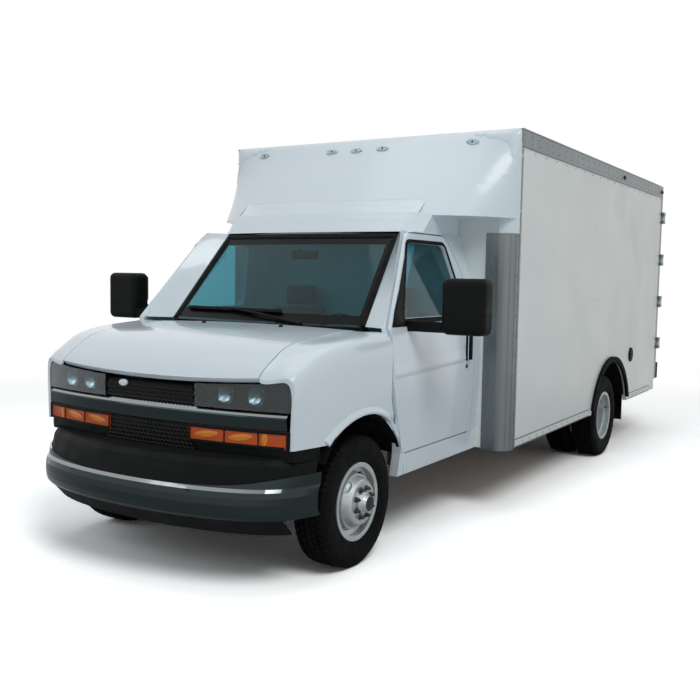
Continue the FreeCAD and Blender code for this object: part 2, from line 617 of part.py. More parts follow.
def door_outline(grow):
    """The door's side view, grown outward by a distance."""
    front, rear = S.door_front_y, S.door_rear_y
    belt, low, top = S.belt_height, S.door_low, S.cab_top - S.door_frame / 4
    return [(front + 160 / 1385 * rear - grow, low - grow), (rear + grow, low - grow),
            (rear + 6 / 1385 * rear + grow, belt + 330 / 1330 * belt),
            (rear - 130 / 1385 * rear + grow, top + grow),
            (front + 470 / 1385 * rear - grow, top + grow),
            (front - grow, belt + grow), (front - grow, belt - 300 / 1330 * belt)]


def opening_outline(grow):
    """The way into the cab, inside the door's outline: its front edge runs behind the pillar."""
    points = door_outline(grow - S.door_step)
    low_y = S.door_front_y + S.hinge_post_wide - grow
    foot_y = S.screen_base_y + S.screen_base_bow + S.pillar_deep - grow
    head_y = S.screen_top_y + S.screen_top_bow + S.pillar_deep - grow
    top = points[4][1]
    return points[:4] + [(head_y, top), (foot_y, S.belt_height), (low_y, S.belt_height - S.pillar_deep),
                         (low_y, points[6][1])]


def opening_radii(grow):
    radii = door_radii(grow - S.door_step)
    return radii[:4] + [S.door_frame / 4, S.door_frame / 4, S.door_frame / 4, radii[6]]


def door_radii(grow):
    corner = S.door_frame
    return [corner / 2 + grow, corner / 2 + grow, 3 * corner, corner + grow, corner + grow, corner / 4,
            3 * corner]


def window_outline():
    return [(S.window_front_y, S.window_base), (S.window_rear_y, S.window_base),
            (S.window_rear_y - S.door_frame * 1.6, S.window_top), (S.window_front_y + S.door_frame * 4.2,
                                                                  S.window_top)]


def window_radii():
    corner = S.door_frame
    return [corner / 5, corner * 0.7, corner, corner]


def cab_sides():
    shell = side_shell(0, S.side_plate, S.fender_rear_y, S.cab_back_y)
    doorway = side_prism(door_outline(S.door_gap), door_radii(S.door_gap), S.roof_half - S.overrun * 3,
                         S.cab_half + S.overrun)
    ahead = across([(S.fender_rear_y - S.overrun, S.cab_low - S.overrun),
                    (S.arch_rear_foot_y, S.cab_low - S.overrun), (S.arch_rear_foot_y,
                                                                  S.sill_top + S.door_gap),
                    (S.door_front_y, S.belt_height - S.overrun * 2), (S.fender_rear_y, S.belt_height),
                    (S.fender_rear_y + S.overrun, S.belt_height + S.overrun),
                    (S.screen_top_y + S.overrun, S.cab_top + S.overrun),
                    (S.fender_rear_y - S.overrun, S.cab_top + S.overrun)],
                   0, S.cab_half + S.overrun)
    doorway = doorway.cut(side_shell(S.rabbet_set, S.roof_half / 2, S.fender_rear_y, S.cab_back_y))
    inner_way = side_prism(opening_outline(S.door_gap), opening_radii(S.door_gap),
                           S.roof_half - S.overrun * 3, S.cab_half + S.overrun)
    doorway = doorway.fuse(inner_way)
    side = shell.cut([doorway, ahead])
    side = side.fuse([pillar().cut(doorway), hinge_post().cut(doorway)] + hinge_leaves()).removeSplitter()
    node(made("cab_sides_shape", side_by_side(side)), "cab_sides")


def hinge_post():
    """The left door's post: it fills the side between the fender's skin and the door's step."""
    depth = S.fender_plate + S.seat_gap
    front = S.firewall_y + S.firewall_plate
    post = side_shell(depth, S.side_plate - depth, front, S.door_front_y + S.hinge_post_wide)
    below = solid_box(0, S.cab_half + S.overrun, front - S.overrun, S.door_rear_y, S.cab_low - S.overrun,
                      S.hinge_post_low)
    above = solid_box(0, S.cab_half + S.overrun, front - S.overrun, S.door_rear_y, S.belt_height,
                      S.cab_top + S.overrun)
    post = post.cut([below, above, arch_space(S.house_radius, S.house_inner, S.cab_half + S.overrun)])
    return max(post.cut(fender_shell()).Solids, key=lambda solid: solid.Volume)


def hinge_leaves():
    """The left door's two hinge leaves, in the gap between the post's step and the door's skin."""
    leaf = side_shell(S.door_skin + S.seat_gap, S.rabbet_set - S.door_skin, S.door_front_y,
                      S.door_front_y + S.hinge_post_wide / 2)
    kept = []
    for height in (S.leaf_low, S.leaf_high):
        kept.append(leaf.common(solid_box(0, S.cab_half, S.door_front_y, S.door_rear_y, height,
                                          height + S.leaf_tall)))
    return kept


def pillar():
    """The left windshield pillar, from the belt to the roof and from the glass to the door's step."""
    rings = []
    base_y, top_y = S.screen_base_y + S.screen_base_bow, S.screen_top_y + S.screen_top_bow
    door_front, door_top = door_outline(S.door_gap)[5][0], door_outline(S.door_gap)[4][0]
    for height, glass_x, glass_y, door_y in ((S.belt_height, S.screen_base_half, base_y, door_front),
                                             (S.cab_top, S.screen_top_half, top_y, door_top)):
        x_in, x_out = glass_x + S.door_gap, side_x(height) - S.rabbet_set
        ring = [(x_in, glass_y), (x_out, door_y), (x_out - S.door_gap, glass_y + S.pillar_deep),
                (x_in + S.door_gap, glass_y + S.pillar_deep)]
        rings.append(polyline([(x, front_axle_y + y, height) for x, y in ring]))
    return Part.makeLoft(rings, True, True)


def cab_roof():
    half, top, crown = S.roof_half, S.cab_top, S.roof_crown
    y = front_axle_y + S.roof_front_y
    upper = Part.Arc(Vector(-half, y, top - crown), Vector(0, y, top), Vector(half, y, top - crown))
    lower = Part.Arc(Vector(-half, y, top - crown - S.roof_plate), Vector(0, y, top - S.roof_plate),
                     Vector(half, y, top - crown - S.roof_plate))
    ends = [Part.LineSegment(upper.StartPoint, lower.StartPoint), Part.LineSegment(upper.EndPoint,
                                                                                   lower.EndPoint)]
    face = Part.Face(Part.Wire([upper.toShape(), ends[1].toShape(), lower.toShape(), ends[0].toShape()]))
    panel = face.extrude(Vector(0, S.cab_back_y - S.roof_front_y, 0))
    start = S.screen_top_y + S.glass_plate * math.sqrt(2) - 3 * S.overrun
    low = S.cab_top - S.roof_crown - S.roof_plate - S.overrun
    bow = S.screen_top_bow * (half / S.screen_top_half) ** 2
    edge = Part.Face(screen_wire(half + S.seat_gap, start, bow, low, 3 * S.overrun + S.seat_gap))
    post = pillar()
    panel = panel.cut(edge.extrude(Vector(0, 0, S.roof_plate + S.roof_crown + 2 * S.overrun)))
    panel = panel.cut([post, flip(post)])
    node(made("cab_roof_shape", panel), "cab_roof")


def screen_wire(half, y, bow, height, thick):
    """One end of the windshield: an arc, its copy behind it and the two short ends."""
    back = front_axle_y + y + thick
    front = front_axle_y + y
    outer = Part.Arc(Vector(-half, front + bow, height), Vector(0, front, height),
                     Vector(half, front + bow, height))
    inner = Part.Arc(Vector(-half, back + bow, height), Vector(0, back, height),
                     Vector(half, back + bow, height))
    ends = [Part.LineSegment(outer.StartPoint, inner.StartPoint), Part.LineSegment(outer.EndPoint,
                                                                                   inner.EndPoint)]
    return Part.Wire([outer.toShape(), ends[1].toShape(), inner.toShape(), ends[0].toShape()])


def windshield():
    thick = S.glass_plate * math.sqrt(2)
    low = screen_wire(S.screen_base_half, S.screen_base_y, S.screen_base_bow, S.screen_base_height, thick)
    high = screen_wire(S.screen_top_half, S.screen_top_y, S.screen_top_bow, S.screen_top_height, thick)
    node(made("windshield_shape", Part.makeLoft([low, high], True, True)), "windshield")


def arch_space(radius, x_low, x_high):
    """A round space over the left front wheel, about the arch's centre."""
    return tube_x(x_low, x_high, S.arch_centre_y, S.arch_centre_height, radius)


def cab_floor():
    floor = block("floor_pan", ("-cab_floor_half", FRONT_AXLE + " + firewall_y", "cab_floor_low"),
                  ("2 * cab_floor_half", "cab_back_y - firewall_y", "cab_floor_plate"))
    parts = [floor]
    for index, (x, y) in enumerate((("rail_half - rail_flange", "firewall_y + pad_wide"),
                                    ("-rail_half", "firewall_y + pad_wide"),
                                    ("rail_half - rail_flange", "cab_back_y - 2 * pad_wide"),
                                    ("-rail_half", "cab_back_y - 2 * pad_wide"))):
        parts.append(block("cab_mount_%d" % index, (x, FRONT_AXLE + " + " + y, "rail_low + rail_deep"),
                           ("rail_flange", "pad_wide", "cab_floor_low - rail_low - rail_deep")))
    front, rear = S.arch_rear_foot_y + S.overrun, S.cab_back_y
    web = solid_box(S.cab_floor_half - S.overrun, S.cab_floor_half, front, rear, S.sill_low,
                    S.cab_floor_low)
    foot = solid_box(S.cab_floor_half - S.overrun, S.cab_half, front, rear, S.sill_low,
                     S.sill_top - S.door_gap)
    panel = side_shell(0, S.side_plate + S.seat_gap, front - S.overrun, rear + S.overrun)
    sill = web.fuse(foot.cut(panel)).removeSplitter()
    outside = solid_box(S.cab_floor_half + S.overrun, S.cab_half + S.overrun, front - S.overrun,
                        rear + S.overrun, S.cab_low, S.cab_floor_low)
    sills = side_by_side(sill.cut(outside))
    space = arch_space(S.house_radius, S.house_inner, S.cab_half)
    floor = cut("floor_cut", fuse("cab_floor_fuse", parts), made("wheel_spaces", side_by_side(space)))
    node(fuse("floor_sills", [floor, made("side_sills", sills)]), "cab_floor")


def hood_hinge_height():
    return S.belt_height - S.hood_hinge_drop


def firewall():
    low = S.cab_floor_low + S.cab_floor_plate
    wall = solid_box(-S.firewall_half, S.firewall_half, S.firewall_y, S.firewall_y + S.firewall_plate, low,
                     S.cowl_top)
    cowl = solid_box(-S.firewall_half, S.firewall_half, S.firewall_y, S.cowl_rear_y,
                     S.cowl_top - S.cowl_deep,
                     S.cowl_top)
    ring = Part.Face(screen_wire(S.screen_base_half, S.screen_base_y + S.riser_set, S.screen_base_bow,
                                 S.cowl_top, S.riser_thick))
    riser = ring.extrude(Vector(0, 0, S.screen_base_height - S.cowl_top))
    outer = arch_space(S.house_radius, S.house_inner, S.firewall_half)
    inner = arch_space(S.house_radius - S.house_plate, S.house_inner + S.house_plate, S.cab_half)
    kept = solid_box(0, S.cab_half, S.firewall_y, S.firewall_y + S.house_radius, S.cab_floor_low,
                     S.cowl_top)
    house = outer.cut(inner).common(kept)
    shape = wall.fuse([cowl, riser]).cut([outer, flip(outer)]).fuse([house, flip(house)])
    radius, boss = S.ear_radius, S.hood_hinge_wide / 2 + S.seat_gap
    pins = []
    for sign in (1, -1):
        x = sign * S.hood_hinge_half
        pins.append(tube_x(x - boss - S.ear_thick, x + boss + S.ear_thick, S.hood_hinge_y,
                           hood_hinge_height(),
                           S.hinge_pin))
        for x_low in (x - boss - S.ear_thick, x + boss):
            pins.append(tube_x(x_low, x_low + S.ear_thick, S.hood_hinge_y, hood_hinge_height(), radius))
            pins.append(solid_box(x_low, x_low + S.ear_thick, S.hood_hinge_y - radius,
                                  S.hood_hinge_y + radius,
                                  S.cowl_top - S.cowl_deep, hood_hinge_height()))
    node(made("firewall_shape", shape.fuse(pins).removeSplitter()), "firewall")


def dashboard():
    deep, high = S.dash_rear_y - S.dash_front_y, S.dash_top - S.dash_low
    outline = [(S.dash_front_y, S.dash_low + high / 2), (S.dash_front_y + deep / 2, S.dash_low),
               (S.dash_rear_y, S.dash_low + high / 3), (S.dash_rear_y - deep / 6, S.dash_top - high / 7),
               (S.dash_rear_y - deep / 3, S.dash_top), (S.dash_front_y, S.dash_top - high / 10)]
    radii = [high / 9] * 6
    panel = side_prism(outline, radii, -S.dash_half, S.dash_half)
    stay = solid_box(-S.dash_half / 3, S.dash_half / 3, S.firewall_y + S.firewall_plate,
                     S.dash_front_y + deep / 3,
                     S.dash_low + high / 2, S.dash_top - high / 3)
    axis = Vector(0, -math.cos(STEER_TILT), -math.sin(STEER_TILT))
    top = steer_centre() + axis * (S.steer_boss_deep + S.seat_gap)
    column = Part.makeCylinder(S.column_radius, S.column_long, top, axis)
    bore = Part.makeCylinder(S.column_radius / 2 + S.fit_gap, S.column_long / 2, top, axis)
    node(made("dashboard_shape", panel.fuse([stay, column]).cut(bore).removeSplitter()), "dashboard")


STEER_TILT = math.radians(30)


def steer_centre():
    return Vector(S.seat_half, front_axle_y + S.steer_hub_y, S.steer_hub_height)


def steering_wheel():
    centre = steer_centre()
    axis = Vector(0, -math.cos(STEER_TILT), -math.sin(STEER_TILT))
    ring = Part.makeTorus(S.wheel_ring_radius, S.wheel_ring_tube, centre, axis)
    boss = Part.makeCylinder(S.steer_boss, S.steer_boss_deep, centre, axis)
    across_axis = Vector(1, 0, 0)
    parts = [boss]
    for angle in (0, 180, 270):
        spoke = Part.makeBox(S.wheel_ring_radius, S.wheel_ring_tube * 2, S.wheel_ring_tube,
                             Vector(0, -S.wheel_ring_tube, 0))
        spoke.rotate(Vector(0, 0, 0), Vector(0, 0, 1), angle)
        spoke.Placement = FreeCAD.Placement(centre, Rotation(Vector(0, 0, 1),
                                                             axis)).multiply(spoke.Placement)
        parts.append(spoke)
    shape = ring.fuse(parts).removeSplitter()
    shaft = Part.makeCylinder(S.column_radius / 2, S.steer_boss_deep + S.column_long / 2 - S.overrun / 8,
                              centre,
                              axis)
    node(made("steering_wheel_shape", shape.fuse(shaft).removeSplitter()), "steering_wheel")


def seats():
    x_low, x_high = S.seat_half - S.seat_wide / 2, S.seat_half + S.seat_wide / 2
    front, rear = S.seat_front_y, S.seat_front_y + S.seat_deep
    low = S.seat_height - S.seat_thick
    cushion = side_prism([(front, low), (rear, low), (rear, S.seat_height), (front, S.seat_height)],
                         [S.overrun] * 4, x_low, x_high)
    lean = S.seat_back_thick * 0.8
    back = side_prism([(rear - S.seat_back_thick, S.seat_height - S.overrun), (rear,
                                                                               S.seat_height - S.overrun),
                       (rear + lean, S.seat_back_top), (rear + lean - S.seat_back_thick * 0.7,
                                                        S.seat_back_top)],
                      [S.overrun, S.overrun, S.overrun, S.overrun], x_low, x_high)
    base = solid_box(S.seat_half - S.seat_base_wide / 2, S.seat_half + S.seat_base_wide / 2,
                     front + S.overrun, rear - S.overrun, S.cab_floor_low + S.cab_floor_plate, low)
    node(made("seats_shape", side_by_side(cushion.fuse([back, base]).removeSplitter())), "seats")


# Hood and fenders: lofts through stations from the nose back. Each hood station is (distance from the
# nose to the cowl, middle height, edge height) as shares; heights run from lamp_low to belt_height.
HOOD_SHARES = ((0.0, 0.37, 0.43), (0.03, 0.46, 0.50), (0.08, 0.565, 0.577), (0.206, 0.75, 0.741),
               (0.413, 0.897, 0.864), (0.70, 0.959, 0.92), (1.0, 0.985, 0.954))
NOSE_BOW_SHARE = 0.083
EDGE_POINTS = 4


def nose_line(x):
    """How far the nose's plan curve has fallen back at a distance from the middle."""
    share = x / S.bumper_half
    return S.bumper_half * NOSE_BOW_SHARE * (share ** 2 + 0.45 * share ** 4)


def skin(grid):
    """A smooth face through rows of points."""
    return Part.makeLoft([Part.Wire([spline(row)]) for row in grid], False, False).Faces[0]


def between(outer, inner):
    """The solid between two skins that have the same rows and columns."""
    faces = [outer, inner]
    surfaces = outer.Surface, inner.Surface
    for end in (0, 1):
        isos = [surface.uIso(surface.bounds()[end]) for surface in surfaces]
        faces.append(Part.makeRuledSurface(isos[0].toShape(), isos[1].toShape()))
        isos = [surface.vIso(surface.bounds()[2 + end]) for surface in surfaces]
        faces.append(Part.makeRuledSurface(isos[0].toShape(), isos[1].toShape()))
    return closed(faces)


def closed(faces):
    """One solid from the faces that bound it."""
    shell = Part.makeShell(faces)
    shell.sewShape()
    solid = Part.makeSolid(shell)
    if solid.Volume < 0:
        solid.reverse()
    return solid


def hood_rows(station, plate):
    """One station's points across the hood, on its outer face and on its inner face."""
    along, middle, edge = station
    height = S.belt_height - S.lamp_low
    high, low = [], []
    for step in range(-EDGE_POINTS, EDGE_POINTS + 1):
        share = step / EDGE_POINTS
        x = share * S.hood_half
        y = front_axle_y + S.nose_y + along * (S.hood_rear_y - S.nose_y) + (1 - along) * nose_line(x)
        z = S.lamp_low + height * (middle + (edge - middle) * share * share)
        high.append((x, y, z))
        low.append((x, y + plate * (1 - along), z - plate))
    return high, low


def hood():
    rows = [hood_rows(station, S.hood_plate) for station in HOOD_SHARES]
    panel = between(skin([high for high, low in rows]), skin([low for high, low in rows]))
    eyes = []
    half = S.hood_hinge_wide / 2
    for sign in (1, -1):
        x = sign * S.hood_hinge_half
        eyes.append(tube_x(x - half, x + half, S.hood_hinge_y, hood_hinge_height(), S.hinge_boss))
        eyes.append(solid_box(x - half, x + half, S.hood_hinge_y - S.hinge_boss * 0.8,
                              S.hood_hinge_y + S.hinge_boss * 0.8, hood_hinge_height(),
                              hood_hinge_height() + 2 * S.hinge_boss))
    shape = panel.fuse(eyes)
    bore = tube_x(-S.hood_half, S.hood_half, S.hood_hinge_y, hood_hinge_height(), S.hinge_pin + S.fit_gap)
    node(made("hood_shape", shape.cut(bore).removeSplitter()), "hood")


# Fender stations: distance from the fender's front to its rear, half width, top edge height, belt
# height, as shares; heights run from lamp_low to belt_height.
FENDER_SHARES = ((0.0, 0.905, 0.43, 0.425), (0.03, 0.912, 0.50, 0.475), (0.08, 0.922, 0.577, 0.535),
                 (0.206, 0.945, 0.741, 0.675), (0.413, 0.972, 0.864, 0.81), (0.70, 0.992, 0.92, 0.872),
                 (1.0, 0.998, 0.954, 0.91))


def fender_rows(station, plate):
    """One station's points down the fender, on its outer face and on its inner face."""
    along, wide, top, shoulder = station
    height = S.belt_height - S.lamp_low
    rise = S.belt_height - S.cab_low
    side = S.cab_half * wide
    seam = S.hood_half + S.shut_gap
    top_z, shoulder_z = S.lamp_low + height * top, S.lamp_low + height * shoulder
    low = [(side * x, S.cab_low + rise * z) for x, z in SIDE_SHARES[3::-1]]
    outer = [(seam, top_z), (seam + (side - seam) * 0.5, top_z - (top_z - shoulder_z) * 0.15),
             (side - (side - seam) * 0.12, shoulder_z), (side, (shoulder_z + low[0][1]) / 2)] + low
    inner = [(seam, top_z - plate), (outer[1][0] - plate * 0.2, outer[1][1] - plate),
             (outer[2][0] - plate, outer[2][1] - plate)]
    inner += [(x - plate, z) for x, z in outer[3:]]
    places = [front_axle_y + (1 - along) * (S.nose_y + nose_line(x)) + along * S.fender_rear_y
              for x, z in outer]
    return ([(x, y, z) for (x, z), y in zip(outer, places)], [(x, y, z) for (x, z), y in zip(inner,
                                                                                             places)])


def fender_shell():
    rows = [fender_rows(station, S.fender_plate) for station in FENDER_SHARES]
    return between(skin([outer for outer, inner in rows]), skin([inner for outer, inner in rows]))


def fenders():
    shell = fender_shell()
    arch = arch_space(S.arch_radius, S.hood_half, S.cab_half + S.overrun * 2)
    doorway = side_prism(door_outline(S.door_gap), door_radii(S.door_gap), S.roof_half,
                         S.cab_half + S.overrun)
    below = solid_box(0, S.cab_half + S.overrun, S.nose_y, S.arch_centre_y, S.cab_low - S.overrun,
                      S.fender_low)
    node(made("fenders_shape", side_by_side(shell.cut(arch).cut(below).cut(doorway))), "fenders")


# Nose: panels that follow the bumper's plan curve
def nose_curve(offset, x_low, x_high, height):
    """The nose's plan curve, offset back, between two places across the truck."""
    points = []
    for step in range(2 * EDGE_POINTS + 1):
        x = x_low + (x_high - x_low) * step / (2 * EDGE_POINTS)
        points.append((x, front_axle_y + S.nose_y + offset + nose_line(x), height))
    return points


def nose_panel(offset, deep, x_low, x_high, z_low, z_high):
    """A wall that follows the nose's plan curve."""
    front = nose_curve(offset, x_low, x_high, z_low)
    back = [(x, y + deep, z) for x, y, z in front]
    ends = [Part.LineSegment(Vector(*front[index]), Vector(*back[index])).toShape() for index in (0, -1)]
    face = Part.Face(Part.Wire([spline(front), ends[1], spline(back), ends[0]]))
    return face.extrude(Vector(0, 0, z_high - z_low))


def nose_ring(offset, deep, half, height):
    front = nose_curve(offset, -half, half, height)
    back = [(x, y + deep, z) for x, y, z in nose_curve(offset, -half, half, height)]
    ends = [Part.LineSegment(Vector(*front[index]), Vector(*back[index])).toShape() for index in (0, -1)]
    return Part.Wire([spline(front), ends[1], spline(back), ends[0]])


GRILLE_SET_SHARE = 0.65


def hexagon(x, z, radius):
    return [(x + radius * math.sin(math.pi / 3 * step), z + radius * math.cos(math.pi / 3 * step))
            for step in range(6)]


def honeycomb(half, z_low, z_high):
    """Hexagonal cutting tools in staggered rows, between two heights and within a half width."""
    radius = (S.cell_wide - S.cell_bar) / math.sqrt(3)
    pitch_z = S.cell_wide * math.sqrt(3) / 2
    rows = int((z_high - z_low - 2 * S.grille_rim - 2 * radius) / pitch_z) + 1
    first = (z_low + z_high - (rows - 1) * pitch_z) / 2
    y_low, y_high = S.nose_y, S.nose_y + 4 * S.overrun
    tools = []
    for row in range(rows):
        shift = S.cell_wide / 2 if row % 2 else 0
        across_half = int((half - S.grille_rim - S.cell_wide / 2 + shift) / S.cell_wide)
        for step in range(-across_half, across_half + (0 if shift else 1)):
            x = step * S.cell_wide + shift
            z = first + row * pitch_z
            outline = [(px, pz) for px, pz in hexagon(x, z, radius)]
            wire = polyline([(px, front_axle_y + y_low, pz) for px, pz in outline])
            tools.append(Part.Face(wire).extrude(Vector(0, y_high - y_low, 0)))
    return tools


def grille():
    set_back = S.overrun * GRILLE_SET_SHARE
    upper = S.lamp_inner_half - S.shut_gap
    lower = S.lamp_inner_half - S.overrun - S.shut_gap
    parts = []
    for half, low, high, open_top in ((upper, S.bar_top, S.grille_top, S.hood_plate),
                                      (lower, S.grille_low, S.bar_low, 0)):
        panel = nose_panel(set_back, S.grille_plate, -half, half, low, high)
        parts.append(panel.cut(honeycomb(half, low, high - open_top)))
    node(made("grille_shape", Part.makeCompound(parts)), "grille")


# The chrome bar's face: height and set back as shares of its height and of its bevel
BAR_LEVELS = ((0.0, 0.45), (0.66, 0.0), (0.74, 0.12), (1.0, 1.0))


def chrome_bar():
    rise = S.bar_top - S.bar_low
    rings = [nose_ring(S.bar_bevel * back, S.bar_deep - S.bar_bevel * back, S.bar_half,
                       S.bar_low + rise * height)
             for height, back in BAR_LEVELS]
    node(made("chrome_bar_shape", Part.makeLoft(rings, True, True)), "chrome_bar")


def lip_height(x):
    """The height of the hood's lower lip at the nose."""
    middle, edge = HOOD_SHARES[0][1:]
    share = middle + (edge - middle) * (x / S.hood_half) ** 2
    return S.lamp_low + (S.belt_height - S.lamp_low) * share - S.hood_plate


def over(points, y_low, y_high):
    """Everything above a smooth front-view line of (x, z) points, for cutting."""
    line = spline([(x, front_axle_y + y_low, z) for x, z in points])
    top = max(z for x, z in points) + S.cab_half
    corners = [points[-1], (points[-1][0], top), (points[0][0], top), points[0]]
    edges = [line] + [Part.LineSegment(Vector(a[0], front_axle_y + y_low, a[1]),
                                       Vector(b[0], front_axle_y + y_low, b[1])).toShape()
                      for a, b in zip(corners, corners[1:])]
    return Part.Face(Part.Wire(edges)).extrude(Vector(0, y_high - y_low, 0))


def head_space(offset, deep, edge):
    """The left headlamp's room behind the nose's face, edge inside its outline."""
    seam = S.hood_half + S.shut_gap
    y_low, y_high = S.nose_y - S.overrun, S.nose_y + S.lamp_deep + 4 * S.overrun
    head = nose_panel(offset, deep, S.lamp_inner_half + edge, S.lamp_outer_half - edge,
                      S.bar_top + edge, S.lamp_top + S.lamp_lift)
    inside = [(x, lip_height(x) - S.lip_clear - edge)
              for x in (0, S.lamp_inner_half, (S.lamp_inner_half + seam) / 2, seam)]
    head = head.cut(over(inside, y_low, y_high))
    return head.cut(solid_box(seam, S.cab_half, y_low, y_high, S.lamp_top - edge,
                              S.lamp_top + 2 * S.lamp_lift))


def turn_space(offset, deep, edge):
    return nose_panel(offset, deep, S.lamp_inner_half - S.overrun + edge, S.lamp_outer_half - edge,
                      S.turn_low + edge, S.bar_low - edge)


def bowl(x, z):
    """A headlamp's reflector: a thin round dish that opens ahead, at one place across the lamp."""
    rim_y = nose_line(x) + S.nose_y + S.bowl_set
    deep = S.lamp_deep - S.lamp_wall / 2 - S.bowl_set - S.bowl_plate
    radius = (S.bowl_radius ** 2 + deep ** 2) / (2 * deep)
    centre = Vector(x, front_axle_y + rim_y + deep - radius, z)
    reach = 2 * S.bowl_radius
    dish = Part.makeSphere(radius + S.bowl_plate, centre).cut(Part.makeSphere(radius, centre))
    return dish.common(solid_box(x - reach, x + reach, rim_y, rim_y + S.lamp_deep, z - reach, z + reach))


# The bowls' places across the headlamp, as shares of its width from its inner end
BOWL_PLACE_SHARES = (0.30, 0.62)


def front_lamps():
    set_back = S.shut_gap
    shell = fender_shell()
    wall = S.lamp_wall
    behind = set_back + S.lens_plate + S.seat_gap
    case = head_space(behind, S.lamp_deep - behind, 0)
    case = case.cut(head_space(0, S.lamp_deep - wall, wall)).cut(shell)
    case = max(case.Solids, key=lambda solid: solid.Volume)
    middle = (S.bar_top + S.lamp_top) / 2 - wall
    bowls = [bowl(S.lamp_inner_half + share * (S.lamp_outer_half - S.lamp_inner_half), middle)
             for share in BOWL_PLACE_SHARES]
    kept = head_space(0, S.lamp_deep, wall / 2)
    case = case.fuse([dish.common(kept) for dish in bowls]).removeSplitter()
    box = turn_space(behind, S.lamp_deep - behind, 0)
    box = box.cut(turn_space(0, S.lamp_deep - wall, wall)).cut(shell)
    box = max(box.Solids, key=lambda solid: solid.Volume)
    left = Part.makeCompound([case, box])
    node(made("front_lamps_shape", Part.makeCompound([left, flip(left)])), "front_lamps")
    for label, space in (("lamp_lenses", head_space), ("turn_lamps", turn_space)):
        lens = space(set_back, S.lens_plate, 0).cut(shell)
        lens = max(lens.Solids, key=lambda solid: solid.Volume)
        node(made(label + "_shape", side_by_side(lens)), label)


BUMPER_BOW_SHARES = ((0.17, 2), (0.10, 4), (0.20, 16))


def bumper_line(x):
    """The bumper's plan curve: how far behind the front axle its face is, negative ahead of it."""
    share = x / S.bumper_half
    bow = sum(part * share ** power for part, power in BUMPER_BOW_SHARES)
    return S.bumper_half * bow - S.front_overhang


def bumper_curve(offset, x_half, height):
    points = []
    count = 3 * EDGE_POINTS
    for step in range(-count, count + 1):
        x = x_half * math.sin(math.pi / 2 * step / count)
        points.append((x, front_axle_y + offset + bumper_line(x), height))
    return points


def bumper_ring(offset, plate, x_half, height):
    front = bumper_curve(offset, x_half, height)
    back = bumper_curve(offset + plate, x_half - plate, height)
    ends = [Part.LineSegment(Vector(*front[index]), Vector(*back[index])).toShape() for index in (0, -1)]
    return Part.Wire([spline(front), ends[1], spline(back), ends[0]])


def bumper_shell(levels, plate, x_half):
    """A wall along the bumper's plan curve through levels of (height, set back)."""
    rings = [bumper_ring(offset, plate, x_half, height) for height, offset in levels]
    return Part.makeLoft(rings, True, True)


# Set back of the bumper's face at shares of its height, as shares of its edges' set back
BUMPER_LEVELS = ((0.0, 1.0), (0.10, 0.42), (0.28, 0.08), (0.50, 0.0), (0.72, 0.10), (0.90, 0.45), (1.0,
                                                                                                   1.0),
                 (1.40, 1.25))


def bumper():
    rise = S.bumper_top - S.bumper_low
    edge = S.bumper_set
    levels = [(S.bumper_low + rise * height, edge * back) for height, back in BUMPER_LEVELS]
    line = [(S.bumper_half * x / 4, S.bumper_top + S.bumper_rise * abs(x / 4) ** 3) for x in range(-4, 5)]
    line = [(line[0][0] - S.overrun, line[0][1])] + line + [(line[-1][0] + S.overrun, line[-1][1])]
    y_low, y_high = -S.front_overhang - S.overrun, 0
    chrome = bumper_shell(levels, S.bumper_plate, S.bumper_half).cut(over(line, y_low, y_high))
    irons = []
    for sign in (1, -1):
        x_low = S.rail_half - S.rail_flange if sign > 0 else -S.rail_half
        start = bumper_line(S.rail_half) + S.bumper_plate / 2
        irons.append(solid_box(x_low, x_low + S.rail_flange, start, S.rail_front_y,
                               S.rail_low, S.rail_low + S.rail_deep - 2 * S.overrun))
    node(made("bumper_chrome_shape", chrome.fuse(irons).removeSplitter()), "bumper_chrome")
    half = S.bumper_half - S.bumper_plate
    low = S.bumper_top - S.shelf_thick
    cover = bumper_shell([(low, edge + S.bumper_plate), (S.bumper_top + S.bumper_rise,
                                                         edge + 2 * S.bumper_plate),
                          ((low + S.cover_top) / 2 + S.overrun, edge + S.overrun),
                          (S.cover_top - S.shelf_thick, S.cover_back / 2)], S.shelf_thick, half)
    shelf = bumper_shell([(S.cover_top - S.shelf_thick, S.cover_back / 2), (S.cover_top, S.cover_back / 2)],
                         S.cover_back / 2, half)
    cover = cover.cut(bumper_shell(levels, S.bumper_plate + S.seat_gap, S.bumper_half)).fuse(shelf)
    valance = bumper_shell([(S.valance_low, S.valance_back), (S.bumper_low, edge + S.shelf_thick / 2)],
                           S.shelf_thick, S.bumper_half - S.valance_inset)
    node(made("bumper_cover_shape", Part.makeCompound([cover.removeSplitter(), valance])), "bumper_cover")


